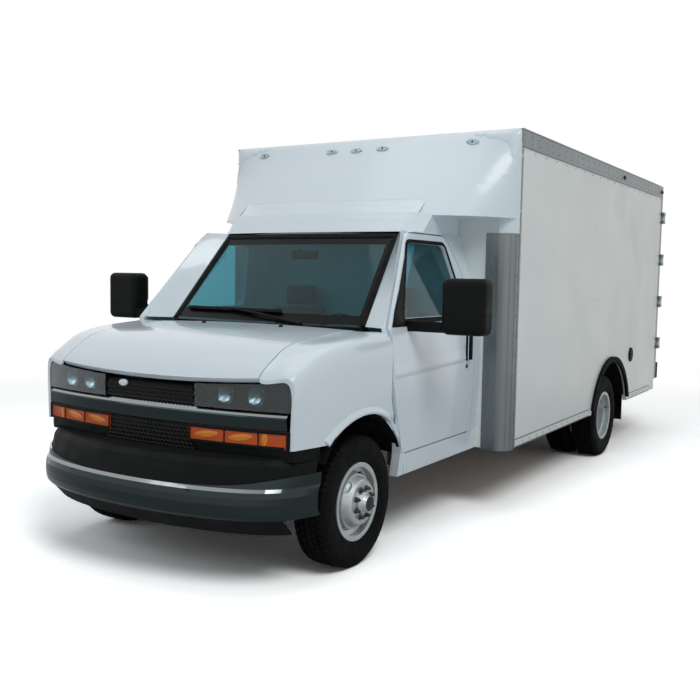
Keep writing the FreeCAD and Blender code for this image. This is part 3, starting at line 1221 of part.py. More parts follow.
# Cab doors
def cab_door(side, sign):
    inside, outside = S.roof_half - 3 * S.overrun, S.cab_half + S.overrun
    y_low, y_high = S.door_front_y - S.overrun, S.door_rear_y + 2 * S.overrun
    outer = side_shell(0, S.door_skin, y_low, y_high)
    outer = outer.common(side_prism(door_outline(0), door_radii(0), inside, outside))
    inner = side_shell(S.door_skin, S.side_plate - S.door_skin, y_low, y_high)
    inner = inner.common(side_prism(opening_outline(0), opening_radii(0), inside, outside))
    window = side_prism(window_outline(), window_radii(), inside, outside)
    grip_x = side_x(S.handle_low + S.handle_long / 2)
    grip = solid_box(grip_x - S.side_plate / 2, grip_x + S.handle_proud, S.handle_y,
                     S.handle_y + S.handle_wide, S.handle_low, S.handle_low + S.handle_long)
    door = outer.fuse([inner, grip]).cut(window).removeSplitter()
    pane = side_shell(S.pane_inset, S.pane, S.door_front_y, S.door_rear_y).common(window)
    head = solid_box(S.mirror_in, S.mirror_out, S.mirror_front_y, S.mirror_front_y + S.mirror_deep,
                     S.belt_height - S.mirror_drop, S.belt_height - S.mirror_drop + S.mirror_tall)
    head = head.makeFillet(S.mirror_corner, head.Edges)
    arm = solid_box(side_x(S.belt_height) - S.overrun, S.mirror_in + S.overrun, S.mirror_foot_y,
                    S.mirror_foot_y + S.mirror_arm_deep, S.belt_height - S.overrun / 2,
                    S.belt_height + S.overrun)
    arm = arm.cut(side_shell(0, S.side_plate, y_low, y_high))
    arm = max(arm.Solids, key=lambda solid: solid.BoundBox.XMax)
    mirror = head.fuse(arm).removeSplitter()
    for label, shape in (("door_" + side, door), ("door_glass_" + side, pane), ("mirror_" + side, mirror)):
        node(made(label + "_shape", shape if sign > 0 else flip(shape)), label)


# Box body
def cargo_floor():
    y_low, y_high = S.wall_front_y, S.box_rear_y - S.rear_post_deep
    inner = S.box_half - S.wall_plate
    arch_front, arch_rear = S.rear_arch_y - S.rear_arch_radius, S.rear_arch_y + S.rear_arch_radius
    panel = solid_box(-inner, inner, y_low, y_high, S.floor_top - S.floor_plate, S.floor_top)
    beams = []
    for index in range(FLOOR_BEAMS):
        y = y_low + (y_high - y_low - S.sill_beam_wide) * index / (FLOOR_BEAMS - 1)
        inside = arch_front - S.sill_beam_wide < y < arch_rear
        half = S.housing_inner if inside else inner
        beams.append(solid_box(-half, half, y, y + S.sill_beam_wide, S.rail_low + S.rail_deep,
                               S.floor_top - S.floor_plate))
    floor = panel.fuse(beams)
    houses = []
    for sign in (1, -1):
        x = (S.housing_inner, inner)
        x_low, x_high = (x[0], x[1]) if sign > 0 else (-x[1], -x[0])
        outer = solid_box(x_low, x_high, arch_front, arch_rear, S.floor_top - S.floor_plate, S.housing_top)
        plate = S.housing_plate
        hollow_low = x_low + (plate if sign > 0 else -S.overrun)
        hollow_high = x_high + (S.overrun if sign > 0 else -plate)
        hollow = solid_box(hollow_low, hollow_high, arch_front + plate, arch_rear - plate,
                           S.rail_low, S.housing_top - plate)
        houses.append((outer, hollow))
    for outer, hollow in houses:
        floor = floor.fuse(outer).cut(hollow)
    node(made("cargo_floor_shape", floor.removeSplitter()), "cargo_floor")


FLOOR_BEAMS = 12


def rail_foot():
    return S.roof_height - S.rail_tall


def header_low():
    return S.roof_height - S.header_deep


def side_walls():
    wall = solid_box(S.box_half - S.wall_plate, S.box_half, S.wall_front_y, S.box_rear_y - S.rear_post_deep,
                     S.wall_low, rail_foot())
    arch = tube_x(0, S.box_half + S.overrun, S.rear_arch_y, S.rear_arch_height, S.rear_arch_radius)
    node(made("side_walls_shape", side_by_side(wall.cut(arch))), "side_walls")


def body_rails():
    y_low, y_high = S.wall_front_y, S.box_rear_y - S.rear_post_deep
    top = solid_box(S.box_half - S.rail_inside, S.box_half + S.rail_proud, y_low, y_high, rail_foot(),
                    S.roof_height)
    node(made("body_rails_shape", side_by_side(top)), "body_rails")


def body_roof():
    half = S.box_half - S.rail_inside
    panel = solid_box(-half, half, S.wall_front_y, S.box_rear_y - S.rear_post_deep,
                      S.roof_height - S.roof_panel, S.roof_height)
    node(made("body_roof_shape", panel), "body_roof")


def post_outline(grow):
    """The front corner's plan outline: the front flange, the round and the wall's edge."""
    radius = S.post_radius - grow
    centre = Vector(S.box_half - S.post_radius, front_axle_y + S.box_front_y + S.post_radius, 0)
    return centre, radius


def corner_posts():
    centre, radius = post_outline(0)
    inner = radius - S.post_plate
    height = S.post_top - S.post_low
    base = Vector(centre.x, centre.y, S.post_low)
    diagonal = math.sqrt(0.5)
    flange_x = centre.x - S.post_flange
    outer_arc = Part.Arc(base + Vector(0, -radius, 0), base + Vector(radius * diagonal,
                                                                     -radius * diagonal, 0),
                         base + Vector(radius, 0, 0))
    inner_arc = Part.Arc(base + Vector(0, -inner, 0), base + Vector(inner * diagonal, -inner * diagonal, 0),
                         base + Vector(inner, 0, 0))
    tail = front_axle_y + S.wall_front_y
    points = [base + Vector(radius, 0, 0), Vector(base.x + radius, tail, S.post_low),
              Vector(base.x + inner, tail, S.post_low), base + Vector(inner, 0, 0)]
    flange = [base + Vector(0, -inner, 0), Vector(flange_x, base.y - inner, S.post_low),
              Vector(flange_x, base.y - radius, S.post_low), base + Vector(0, -radius, 0)]
    edges = [outer_arc.toShape()] + [Part.LineSegment(a, b).toShape() for a, b in zip(points, points[1:])]
    edges += [inner_arc.toShape()] + [Part.LineSegment(a, b).toShape() for a, b in zip(flange, flange[1:])]
    face = Part.Face(Part.Wire(Part.__sortEdges__(edges)))
    node(made("corner_posts_shape", side_by_side(face.extrude(Vector(0, 0, height)))), "corner_posts")


def front_wall():
    half = S.box_half - S.post_radius
    y_low = S.box_front_y + S.post_plate
    wall = solid_box(-half, half, y_low, y_low + S.front_wall_plate, S.wall_low, S.shoulder_height)
    frame_half = S.rail_half + S.post_wide
    notch = solid_box(-frame_half, frame_half, y_low - S.overrun, y_low + S.overrun, S.wall_low - S.overrun,
                      S.rail_low + S.rail_deep)
    node(made("front_wall_shape", wall.cut(notch)), "front_wall")


# Front cap. Each level: its height, how far its front has come back, the plan curve's power and how
# far the crown has pulled it in, as shares of the cap's height, of its run to the wall and of the crown.
CAP_SHARES = ((0.0, 0.155, 3.0, 0.0), (0.12, 0.25, 2.95, 0.0), (0.24, 0.347, 2.88, 0.0),
              (0.36, 0.44, 2.78, 0.0), (0.48, 0.535, 2.64, 0.0), (0.60, 0.63, 2.44, 0.0),
              (0.71, 0.716, 2.24, 0.0), (0.80, 0.786, 2.07, 0.02), (0.87, 0.841, 1.95, 0.07),
              (0.925, 0.887, 1.87, 0.18), (0.965, 0.925, 1.82, 0.38), (0.99, 0.96, 1.8, 0.70),
              (1.0, 0.985, 1.8, 1.0))
PLAN_POWER = 1.6
CAP_POINTS = 8


def cap_row(level, inset):
    """The cap's plan at one level, round from the right rear corner to the left one."""
    share, front_share, power, crown = level
    run = S.wall_front_y - S.cap_front_y
    height = S.shoulder_height + inset + share * (S.roof_height - S.shoulder_height - 2 * inset)
    front = S.cap_front_y + front_share * run + inset * (1 - crown)
    half = S.box_half - inset - crown * (S.cap_crown - inset)
    points = []
    for step in range(-CAP_POINTS, CAP_POINTS + 1):
        s = math.sin(math.pi / 2 * step / CAP_POINTS)
        y = front + (S.wall_front_y - front) * (1 - (1 - abs(s) ** power) ** (1 / PLAN_POWER))
        points.append((half * s, front_axle_y + y, height))
    return points


def cap_body(inset):
    """The cap from the shoulder up, ruled between its levels."""
    wires = []
    for level in CAP_SHARES:
        row = cap_row(level, inset)
        back = Part.LineSegment(Vector(*row[-1]), Vector(*row[0])).toShape()
        wires.append(Part.Wire([spline(row), back]))
    return Part.makeLoft(wires, True, True)


# How far the cap's neck leans back and spreads for each unit of its rise, outside and inside
NECK_SLOPE_SHARE = 0.93
THROAT_SLOPE_SHARE = 1.35
NECK_SPREAD_SHARE = 0.1


def neck_wire(inset, height, front, half):
    """The cap's foot around the cab's roof, in plan."""
    y = front_axle_y + front + inset
    bow = S.neck_front_bow
    x = half - inset
    rear = front_axle_y + S.box_front_y
    arc = Part.Arc(Vector(-x * 0.86, y + bow, height), Vector(0, y, height), Vector(x * 0.86, y + bow,
                                                                                    height))
    left = [Vector(x * 0.86, y + bow, height), Vector(x, y + bow + x * 0.14, height), Vector(x, rear,
                                                                                             height),
            Vector(-x, rear, height), Vector(-x, y + bow + x * 0.14, height), Vector(-x * 0.86, y + bow,
                                                                                     height)]
    lines = [Part.LineSegment(a, b).toShape() for a, b in zip(left, left[1:])]
    return Part.Wire([arc.toShape()] + lines)


def neck_solid(inset, drop, lift, slope):
    """The cap's foot as a solid whose front leans back by slope."""
    rise = S.shoulder_height - S.cap_low
    low = neck_wire(inset, S.cap_low - drop, S.cap_front_y - drop * slope, S.neck_half)
    high = neck_wire(inset, S.shoulder_height + lift, S.cap_front_y + (rise + lift) * slope,
                     S.neck_half + rise * NECK_SPREAD_SHARE)
    return Part.makeLoft([low, high], True, True)


def cap_band(inset, z_low, z_high):
    """The cap's skirt round the tops of the corner posts."""
    centre, radius = post_outline(inset)
    diagonal = math.sqrt(0.5)
    x, y = centre.x, centre.y
    tail = front_axle_y + S.wall_front_y
    start, middle = Vector(x, y - radius, z_low), Vector(x + radius * diagonal, y - radius * diagonal,
                                                         z_low)
    end = Vector(x + radius, y, z_low)
    corners = [end, Vector(end.x, tail, z_low), Vector(-end.x, tail, z_low), Vector(-end.x, y, z_low)]
    mirror_arc = Part.Arc(Vector(-end.x, y, z_low), Vector(-middle.x, middle.y, z_low), Vector(-start.x,
                                                                                               start.y,
                                                                                            z_low))
    edges = [Part.Arc(start, middle, end).toShape()]
    edges += [Part.LineSegment(a, b).toShape() for a, b in zip(corners, corners[1:])]
    edges += [mirror_arc.toShape(), Part.LineSegment(Vector(-start.x, start.y, z_low), start).toShape()]
    return Part.Face(Part.Wire(edges)).extrude(Vector(0, 0, z_high - z_low))


def front_cap():
    top = S.shoulder_height + S.cap_plate
    outer = cap_body(0).fuse([neck_solid(0, 0, S.cap_plate, NECK_SLOPE_SHARE), cap_band(0, S.post_top,
                                                                                        top)])
    inner = cap_body(S.cap_plate)
    throat = neck_solid(S.cap_plate, S.overrun, S.cap_plate, THROAT_SLOPE_SHARE)
    band = cap_band(S.cap_plate, S.post_top - S.overrun, top + S.fit_gap)
    back = solid_box(-S.box_half + S.cap_plate, S.box_half - S.cap_plate, S.box_front_y + S.overrun * 2,
                     S.wall_front_y + S.overrun, S.cap_low, S.roof_height - S.cap_plate)
    cap = outer.cut(inner).cut(throat).cut(band).cut(back)
    wall_space = solid_box(-S.box_half + S.post_radius, S.box_half - S.post_radius, S.box_front_y,
                           S.wall_front_y + S.overrun, S.cap_low - S.overrun, S.shoulder_height)
    node(made("front_cap_shape", cap.cut(wall_space).removeSplitter()), "front_cap")


def rear_frame():
    y_low, y_high = S.box_rear_y - S.rear_post_deep, S.box_rear_y
    whole = solid_box(-S.box_half, S.box_half, y_low, y_high, S.rear_sill_low, S.roof_height)
    half = S.box_half - S.post_wide
    opening = solid_box(-half, half, y_low - S.overrun, y_high + S.overrun, S.floor_top, header_low())
    frame = whole.cut(opening)
    parts = []
    for sign in (1, -1):
        x = sign * (S.box_half + S.rear_pin_out)
        for height in hinge_heights():
            pin = Part.makeCylinder(S.rear_pin_radius, S.strap_high * 2,
                                    Vector(x, front_axle_y + y_high + S.rear_pin_back,
                                           height - S.strap_high))
            parts.append(pin)
            for lift in (-S.strap_high, S.strap_high / 2 + S.seat_gap):
                x_low = S.box_half - S.overrun if sign > 0 else x - S.rear_knuckle
                x_high = x + S.rear_knuckle if sign > 0 else S.overrun - S.box_half
                ear = solid_box(x_low, x_high, y_high - S.overrun,
                                y_high + S.rear_pin_back + S.rear_knuckle, height + lift,
                                height + lift + S.strap_high / 2 - S.seat_gap)
                parts.append(ear)
    node(made("rear_frame_shape", frame.fuse(parts).removeSplitter()), "rear_frame")


HINGES = 4


def hinge_heights():
    span = header_low() - S.floor_top - 2 * S.strap_first
    return [S.floor_top + S.strap_first + span * index / (HINGES - 1) for index in range(HINGES)]


def rear_door(side, sign):
    gap = S.rear_door_gap
    y_high = S.box_rear_y
    half = S.box_half - S.post_wide - gap
    door = solid_box(gap / 2, half, y_high - S.rear_door_plate, y_high, S.floor_top + gap,
                     header_low() - gap)
    pin_x, pin_y = S.box_half + S.rear_pin_out, y_high + S.rear_pin_back
    parts = []
    for height in hinge_heights():
        z_low, z_high = height - S.strap_high / 2 + S.seat_gap, height + S.strap_high / 2 - S.seat_gap
        knuckle_solid = Part.makeCylinder(S.rear_knuckle, z_high - z_low, Vector(pin_x,
                                                                                 front_axle_y + pin_y,
                                                                                 z_low))
        strap = solid_box(half - S.strap_long, pin_x, y_high + S.strap_lift,
                          y_high + S.strap_lift + S.strap_thick,
                          z_low, z_high)
        pad = solid_box(half - S.strap_long, half - S.rear_door_gap, y_high, y_high + S.strap_lift, z_low,
                        z_high)
        web = solid_box(pin_x - S.rear_knuckle / 2, pin_x + S.rear_knuckle / 2, y_high + S.strap_lift,
                        pin_y,
                        z_low, z_high)
        parts += [knuckle_solid, strap, pad, web]
    rod_y = y_high + S.rear_pin_back - S.lock_rod - S.strap_lift / 3
    lock = Part.makeCylinder(S.lock_rod, header_low() - S.floor_top - 4 * gap,
                             Vector(S.lock_rod_in, front_axle_y + rod_y, S.floor_top + 2 * gap))
    for share in (0.06, 0.3, 0.5, 0.7, 0.94):
        z = S.floor_top + share * (header_low() - S.floor_top)
        parts.append(solid_box(S.lock_rod_in - 2 * S.lock_rod, S.lock_rod_in + 2 * S.lock_rod, y_high,
                               rod_y, z - S.lock_rod, z + S.lock_rod))
    handle = solid_box(S.lock_rod_in, S.lock_rod_in + S.strap_long, rod_y - S.lock_rod / 2,
                       rod_y + S.lock_rod / 2, S.lock_height, S.lock_height + 3 * S.lock_rod)
    door = door.fuse(parts + [lock, handle])
    hole = Part.makeCylinder(S.rear_pin_radius + S.fit_gap, header_low(), Vector(pin_x,
                                                                                 front_axle_y + pin_y,
                                                                                S.floor_top))
    door = door.cut(hole).removeSplitter()
    node(made("rear_door_%s_shape" % side, door if sign > 0 else flip(door)), "rear_door_" + side)


def rear_end():
    bar = solid_box(-S.step_half, S.step_half, S.step_front_y, S.rear_overhang + S.wheelbase, S.step_low,
                    S.step_low + S.step_deep)
    brackets = []
    for sign in (1, -1):
        x_low = S.rail_half - S.rail_flange if sign > 0 else -S.rail_half
        brackets.append(solid_box(x_low, x_low + S.rail_flange, S.rail_rear_y, S.step_front_y + S.overrun,
                                  S.rail_low, S.rail_low + S.step_bracket))
    node(made("rear_bumper_shape", bar.fuse(brackets).removeSplitter()), "rear_bumper")
    dock = solid_box(S.box_half - S.dock_wide, S.box_half, S.box_rear_y, S.box_rear_y + S.dock_thick,
                     S.rear_sill_low, S.rear_sill_low + S.dock_high - S.overrun * 2)
    node(made("dock_bumpers_shape", side_by_side(dock)), "dock_bumpers")
    flap = solid_box(S.flap_in, S.flap_out - S.overrun, S.flap_y, S.flap_y + S.flap_thick, S.flap_low,
                     S.floor_top - S.floor_plate)
    node(made("mud_flaps_shape", side_by_side(flap)), "mud_flaps")


def arch_flares():
    outer = tube_x(S.box_half + S.fit_gap * 0, S.box_half + S.flare_proud, S.rear_arch_y,
                   S.rear_arch_height,
                   S.rear_arch_radius + S.flare_wide)
    inner = tube_x(S.box_half - S.overrun, S.box_half + S.flare_proud + S.overrun, S.rear_arch_y,
                   S.rear_arch_height, S.rear_arch_radius - S.flare_inside)
    below = solid_box(0, S.box_half + 2 * S.overrun, S.rear_arch_y - 2 * S.rear_arch_radius,
                      S.rear_arch_y + 2 * S.rear_arch_radius, -S.rear_arch_radius, S.wall_low + S.overrun)
    node(made("arch_flares_shape", side_by_side(outer.cut([inner, below]))), "arch_flares")


# The cap's lamps: place across as a share of the box's half width, place below the roof as a share of
# the cap's crown; and a lamp's half width, half height and half depth as shares of marker_radius
CAP_LAMP_SHARES = ((0.0, 2.19), (0.177, 2.13), (-0.177, 2.13), (0.73, 1.77), (-0.73, 1.77))
MARKER_WIDE_SHARE = 1.3
MARKER_TALL_SHARE = 0.62
MARKER_DEEP_SHARE = 0.62


def body_lamps():
    parts = []
    for sign in (1, -1):
        x = S.box_half - S.post_wide / 2
        y = front_axle_y + S.box_rear_y
        parts.append(Part.makeCylinder(S.marker_radius, S.marker_proud,
                                       Vector(sign * x, y, S.roof_height - S.marker_radius * 1.5),
                                       Vector(0, 1, 0)))
    for x in (0, 0.7, -0.7):
        spot = Vector(x * S.box_half / 4, front_axle_y + S.box_rear_y,
                      S.roof_height - S.marker_radius * 1.5)
        parts.append(Part.makeCylinder(S.marker_radius, S.marker_proud, spot, Vector(0, 1, 0)))
    for sign in (1, -1):
        spot = Vector(sign * (S.box_half - S.dock_wide - 2 * S.tail_lamp_radius),
                      front_axle_y + S.box_rear_y,
                      S.tail_lamp_height)
        parts.append(Part.makeCylinder(S.tail_lamp_radius, S.tail_lamp_proud, spot, Vector(0, 1, 0)))
    cap = cap_body(0)
    for across_share, drop_share in CAP_LAMP_SHARES:
        x, z = across_share * S.box_half, S.roof_height - drop_share * S.cap_crown
        ahead = Vector(x, front_axle_y + S.cap_front_y, z)
        look = Part.LineSegment(ahead, Vector(x, front_axle_y + S.wall_front_y, z)).toShape()
        spot = Vector(x, look.common(cap).BoundBox.YMin, z)
        dome = Part.makeSphere(S.marker_radius)
        dome = dome.transformGeometry(FreeCAD.Matrix(MARKER_WIDE_SHARE, 0, 0, 0, 0, MARKER_DEEP_SHARE, 0, 0,
                                                     0, 0, MARKER_TALL_SHARE, 0))
        dome.translate(spot)
        parts.append(dome.cut(cap))
    node(made("body_lamps_shape", Part.makeCompound(parts)), "body_lamps")


def fuel_filler():
    ring = tube_x(S.box_half, S.box_half + S.filler_proud, S.filler_y, S.filler_height, S.filler_radius)
    node(made("fuel_filler_shape", ring), "fuel_filler")


frame_rails()
crossmembers()
engine_block()
driveline()
radiator()
fuel_tank()
exhaust()
front_axle()
rear_axle()
for side, sign, mark in (("left", 1, ""), ("right", -1, "-")):
    knuckle(side, mark)
    front_rim(side, sign)
    front_tyre(side, sign)
    rear_wheels(side, sign)
    cab_door(side, sign)
    rear_door(side, sign)
cab_sides()
cab_roof()
windshield()
cab_floor()
firewall()
dashboard()
steering_wheel()
seats()
hood()
fenders()
grille()
chrome_bar()
front_lamps()
bumper()
cargo_floor()
side_walls()
body_rails()
body_roof()
corner_posts()
front_wall()
front_cap()
rear_frame()
rear_end()
arch_flares()
body_lamps()
fuel_filler()

doc.recompute()
for thing in doc.Objects:
    if "Invalid" in thing.State or "Error" in thing.State:
        raise RuntimeError("%s is in state %s" % (thing.Name, thing.State))
os.makedirs("parts", exist_ok=True)
for thing in nodes:
    shape = thing.Shape
    if shape.isNull() or not shape.isValid() or not shape.Solids:
        raise RuntimeError("%s has no valid solid" % thing.Label)
    shape.exportStep("parts/%s.step" % thing.Label)
box = Part.makeCompound([thing.Shape for thing in nodes]).BoundBox
print(len(nodes), "sub-parts, box", box)
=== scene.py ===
"""Looks of the box truck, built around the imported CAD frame. Metres, same frame as the CAD."""

import bpy
import bmesh
import json
import math
from functools import cache
from mathutils import Matrix, Vector
from mathutils.bvhtree import BVHTree


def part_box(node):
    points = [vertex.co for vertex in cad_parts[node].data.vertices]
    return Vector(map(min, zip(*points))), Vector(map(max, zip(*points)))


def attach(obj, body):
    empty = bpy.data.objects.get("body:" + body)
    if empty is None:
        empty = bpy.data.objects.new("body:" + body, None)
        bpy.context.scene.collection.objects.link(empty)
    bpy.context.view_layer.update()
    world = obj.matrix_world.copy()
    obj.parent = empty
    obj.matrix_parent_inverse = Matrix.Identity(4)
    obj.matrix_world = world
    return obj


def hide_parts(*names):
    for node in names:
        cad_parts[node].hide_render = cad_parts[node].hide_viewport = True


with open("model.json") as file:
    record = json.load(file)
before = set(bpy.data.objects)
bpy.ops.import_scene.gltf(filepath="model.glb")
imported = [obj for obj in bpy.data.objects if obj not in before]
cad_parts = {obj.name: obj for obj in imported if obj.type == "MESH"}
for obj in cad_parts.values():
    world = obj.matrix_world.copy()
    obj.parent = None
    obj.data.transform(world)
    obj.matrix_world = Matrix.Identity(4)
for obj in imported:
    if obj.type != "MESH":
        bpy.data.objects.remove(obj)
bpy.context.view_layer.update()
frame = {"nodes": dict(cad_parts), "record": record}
NODES = frame["nodes"]

# The camera: where the photographer stood, and the lens
VIEW_POINT = Vector((3.4200, -6.7521, 1.6293))
VIEW_YAW = math.radians(31.49)
VIEW_PITCH = math.radians(4.79)
VIEW_ROLL = math.radians(0.95)
LENS_MM = 45.49
SENSOR_MM = 36.0
PHOTO_PIXELS = 700

# Where the axles stand along the truck
FRONT_AXLE_Y = sum(p.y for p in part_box("front_tyre_left")) / 2
REAR_AXLE_Y = sum(p.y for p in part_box("rear_tyres_left")) / 2
REAR_AXLE_MM = (REAR_AXLE_Y - FRONT_AXLE_Y) * 1000
HUB_Z_MM = 372

SIDES = (("left", 1), ("right", -1))
LEFTWARD = Vector((1, 0, 0))
SIDE_IN = Vector((-1, 0, 0))
REARWARD = Vector((0, 1, 0))
UPWARD = Vector((0, 0, 1))
# Rays at the truck start this far out, in millimetres from the front axle
LEFT_OF_IT = 1600
AHEAD_OF_IT = -1000
BEHIND_IT = 7000


# ---- Finishes ----
def srgb(red, green, blue):
    """A screen colour, 0 to 255, as the linear colour that Blender wants."""
    def linear(level):
        share = level / 255
        return share / 12.92 if share <= 0.04045 else ((share + 0.055) / 1.055) ** 2.4
    return (linear(red), linear(green), linear(blue), 1.0)


def scaled(colour, factor):
    return (colour[0] * factor, colour[1] * factor, colour[2] * factor, 1.0)


class Surface:
    """A material under construction: its node tree, its shader and the object coordinates."""

    def __init__(self, name, colour, roughness, metallic=0.0, **sockets):
        self.material = bpy.data.materials.new(name)
        self.material.use_nodes = True
        self.material.diffuse_color = colour
        self.nodes = self.material.node_tree.nodes
        self.links = self.material.node_tree.links
        self.shader = self.nodes["Principled BSDF"]
        self.colour, self.roughness = colour, roughness
        self.place = self.nodes.new("ShaderNodeTexCoord").outputs["Object"]
        self.height = None
        self.set("Base Color", colour).set("Roughness", roughness).set("Metallic", metallic)
        for socket, value in sockets.items():
            self.set(socket.replace("_", " "), value)

    def set(self, socket, value):
        self.shader.inputs[socket].default_value = value
        return self

    def texture(self, kind, result, place, **settings):
        node = self.nodes.new("ShaderNodeTex" + kind)
        for name, value in settings.items():
            node.inputs[name].default_value = value
        self.links.new(place, node.inputs["Vector"])
        return node, node.outputs[result]

    def noise(self, scale, detail=3.0, stretch=(1, 1, 1)):
        mapping = self.nodes.new("ShaderNodeMapping")
        mapping.inputs["Scale"].default_value = stretch
        self.links.new(self.place, mapping.inputs["Vector"])
        return self.texture("Noise", "Fac", mapping.outputs["Vector"], Scale=scale, Detail=detail)[1]

    def wave(self, scale, direction="X"):
        node, value = self.texture("Wave", "Fac", self.place, Scale=scale, Distortion=0.0)
        node.bands_direction = direction
        return value

    def cells(self, scale):
        return self.texture("Voronoi", "Distance", self.place, Scale=scale)[1]

    def ramp(self, value, low, high, low_at=0.0, high_at=1.0):
        node = self.nodes.new("ShaderNodeMapRange")
        for name, level in (("From Min", low_at), ("From Max", high_at), ("To Min", low), ("To Max", high)):
            node.inputs[name].default_value = level
        self.links.new(value, node.inputs["Value"])
        return node.outputs["Result"]

    def mixed(self, value, first, second):
        node = self.nodes.new("ShaderNodeMix")
        node.data_type = "RGBA"
        self.links.new(value, node.inputs["Factor"])
        for socket, colour in ((6, first), (7, second)):
            if isinstance(colour, tuple):
                node.inputs[socket].default_value = colour
            else:
                self.links.new(colour, node.inputs[socket])
        return node.outputs[2]

    def coloured(self, value, first, second):
        """Base colour that runs from first to second with value."""
        self.links.new(self.mixed(value, first, second), self.shader.inputs["Base Color"])
        return self

    def toned(self, scale, detail, low, high=1.0):
        """Patches between two strengths of the material's own colour."""
        return self.coloured(self.noise(scale, detail), scaled(self.colour, low), scaled(self.colour, high))

    def dusty(self, scale, detail, most, low_at, high_at, dust):
        patches = self.ramp(self.noise(scale, detail), 0.0, most, low_at, high_at)
        return self.coloured(patches, self.colour, dust)

    def rough(self, value, less, more, low_at=0.3, high_at=0.7):
        """Roughness from less under to more over the material's own."""
        result = self.ramp(value, self.roughness - less, self.roughness + more, low_at, high_at)
        self.links.new(result, self.shader.inputs["Roughness"])
        return self

    def bump(self, value, depth_mm, strength=0.5):
        """Bumps of that depth, stacked on the ones already there."""
        node = self.nodes.new("ShaderNodeBump")
        node.inputs["Distance"].default_value = depth_mm / 1000
        node.inputs["Strength"].default_value = strength
        self.links.new(value, node.inputs["Height"])
        if self.height is not None:
            self.links.new(self.height, node.inputs["Normal"])
        self.height = node.outputs["Normal"]
        self.links.new(self.height, self.shader.inputs["Normal"])
        return self


def paint(name, colour):
    """Gloss paint: a faint orange peel under a clear coat."""
    made = Surface(name, colour, 0.28, Coat_Weight=0.6, Coat_Roughness=0.06).toned(1.2, 1, 0.975)
    made.rough(made.noise(3.0, 1), 0.02, 0.03, 0.1, 0.9)
    return made.bump(made.noise(600.0, 0), 0.004, 0.1).material


def gelcoat(name, colour):
    made = Surface(name, colour, 0.33, Coat_Weight=0.4, Coat_Roughness=0.1).toned(1.4, 1, 0.97)
    made.rough(made.noise(2.0, 1), 0.03, 0.03, 0.1, 0.9)
    return made.bump(made.noise(500.0, 0), 0.006, 0.1).material


def sheet_metal(name, colour):
    """Prepainted wall sheet: slow waves between its fasteners and a satin finish."""
    made = Surface(name, colour, 0.38, Coat_Weight=0.25, Coat_Roughness=0.15).toned(0.9, 4, 0.95)
    made.rough(made.noise(3.0, 5), 0.06, 0.1)
    made.bump(made.noise(1.9, 1, (1, 1, 0.6)), 3.0, 0.35)
    return made.bump(made.noise(160.0, 2), 0.03, 0.3).material


def brushed(name, colour):
    """Extruded aluminium: fine draw lines along its length and dull patches."""
    made = Surface(name, colour, 0.38, 1.0).toned(4.0, 5, 0.82)
    lines = made.noise(300.0, 2, (1, 1, 0.02))
    return made.rough(lines, 0.1, 0.14).bump(lines, 0.05, 0.35).material


def bright(name, colour, roughness, painted_ground_reflection=None, lift=(0.45, 0.95)):
    """Chrome plate with water marks; upright faces may carry a painted reflection of dark ground, so they are
    darker than level ones.
    """
    made = Surface(name, colour, roughness, 1.0)
    if not painted_ground_reflection:
        made.toned(9.0, 4, 0.9)
    else:
        # Painted reflection: the colour runs from the dark ground tone on faces that look sideways to the
        # plate's colour on faces that look up.
        marks = made.mixed(made.noise(9.0, 4), scaled(colour, 0.9), colour)
        parts = made.nodes.new("ShaderNodeSeparateXYZ")
        made.links.new(made.nodes.new("ShaderNodeNewGeometry").outputs["Normal"], parts.inputs[0])
        made.coloured(made.ramp(parts.outputs["Z"], 0.0, 1.0, *lift), painted_ground_reflection, marks)
    made.rough(made.noise(22.0, 5), roughness * 0.4, roughness * 0.8)
    return made.bump(made.noise(2.5, 1), 0.5, 0.12).material


def moulded(name, colour, roughness=0.55, grain=900.0, depth_mm=0.12, gloss=0.16):
    """Grained moulded plastic, greyer where it has weathered."""
    made = Surface(name, colour, roughness, Specular_IOR_Level=gloss).toned(3.5, 5, 1.0, 1.55)
    made.rough(made.noise(8.0, 3), 0.07, 0.1)
    return made.bump(made.cells(grain), depth_mm).material


def rubber(name, colour, roughness=0.75, dust=srgb(60, 58, 55)):
    """Rubber with a dusty bloom in patches."""
    made = Surface(name, colour, roughness, Specular_IOR_Level=0.08)
    made.dusty(11.0, 6, 0.1, 0.42, 0.8, dust).rough(made.noise(18.0, 4), 0.1, 0.12)
    return made.bump(made.noise(240.0, 3), 0.12).material


def glazing(name, colour):
    """Tinted glass, whose transmission is coloured by the glass."""
    made = Surface(name, colour, 0.03, Transmission_Weight=1.0, IOR=1.3).toned(2.0, 2, 1.0, 1.06)
    return made.rough(made.noise(6.0, 3), 0.015, 0.02).material


def lens(name, colour, roughness, rib, direction="X", clear=0.85, flute_mm=0.5):
    """Moulded lamp lens with fine flutes."""
    made = Surface(name, colour, roughness, Transmission_Weight=clear, IOR=1.4)
    return made.toned(30.0, 3, 1.0, 1.12).bump(made.wave(rib, direction), flute_mm).material


def cast(name, colour, roughness=0.6):
    """Black steel with road dust."""
    made = Surface(name, colour, roughness, 0.3).dusty(6.0, 6, 0.45, 0.4, 0.75, srgb(92, 84, 74))
    made.rough(made.noise(12.0, 4), 0.1, 0.2)
    return made.bump(made.noise(90.0, 4), 0.4).material


def silver(name, colour):
    """Metallic wheel paint with a fine sparkle and brake dust."""
    made = Surface(name, colour, 0.34, 0.55, Coat_Weight=0.3, Coat_Roughness=0.15)
    made.dusty(16.0, 5, 0.35, 0.45, 0.85, srgb(120, 116, 110)).rough(made.noise(40.0, 3), 0.06, 0.12)
    return made.bump(made.noise(1500.0, 1), 0.02, 0.3).material


def cloth(name, colour):
    """Woven seat cloth: threads both ways."""
    made = Surface(name, colour, 0.9, Sheen_Weight=0.3).toned(60.0, 4, 0.75, 1.2)
    return made.bump(made.wave(900.0, "X"), 0.4).bump(made.wave(900.0, "Z"), 0.4).material


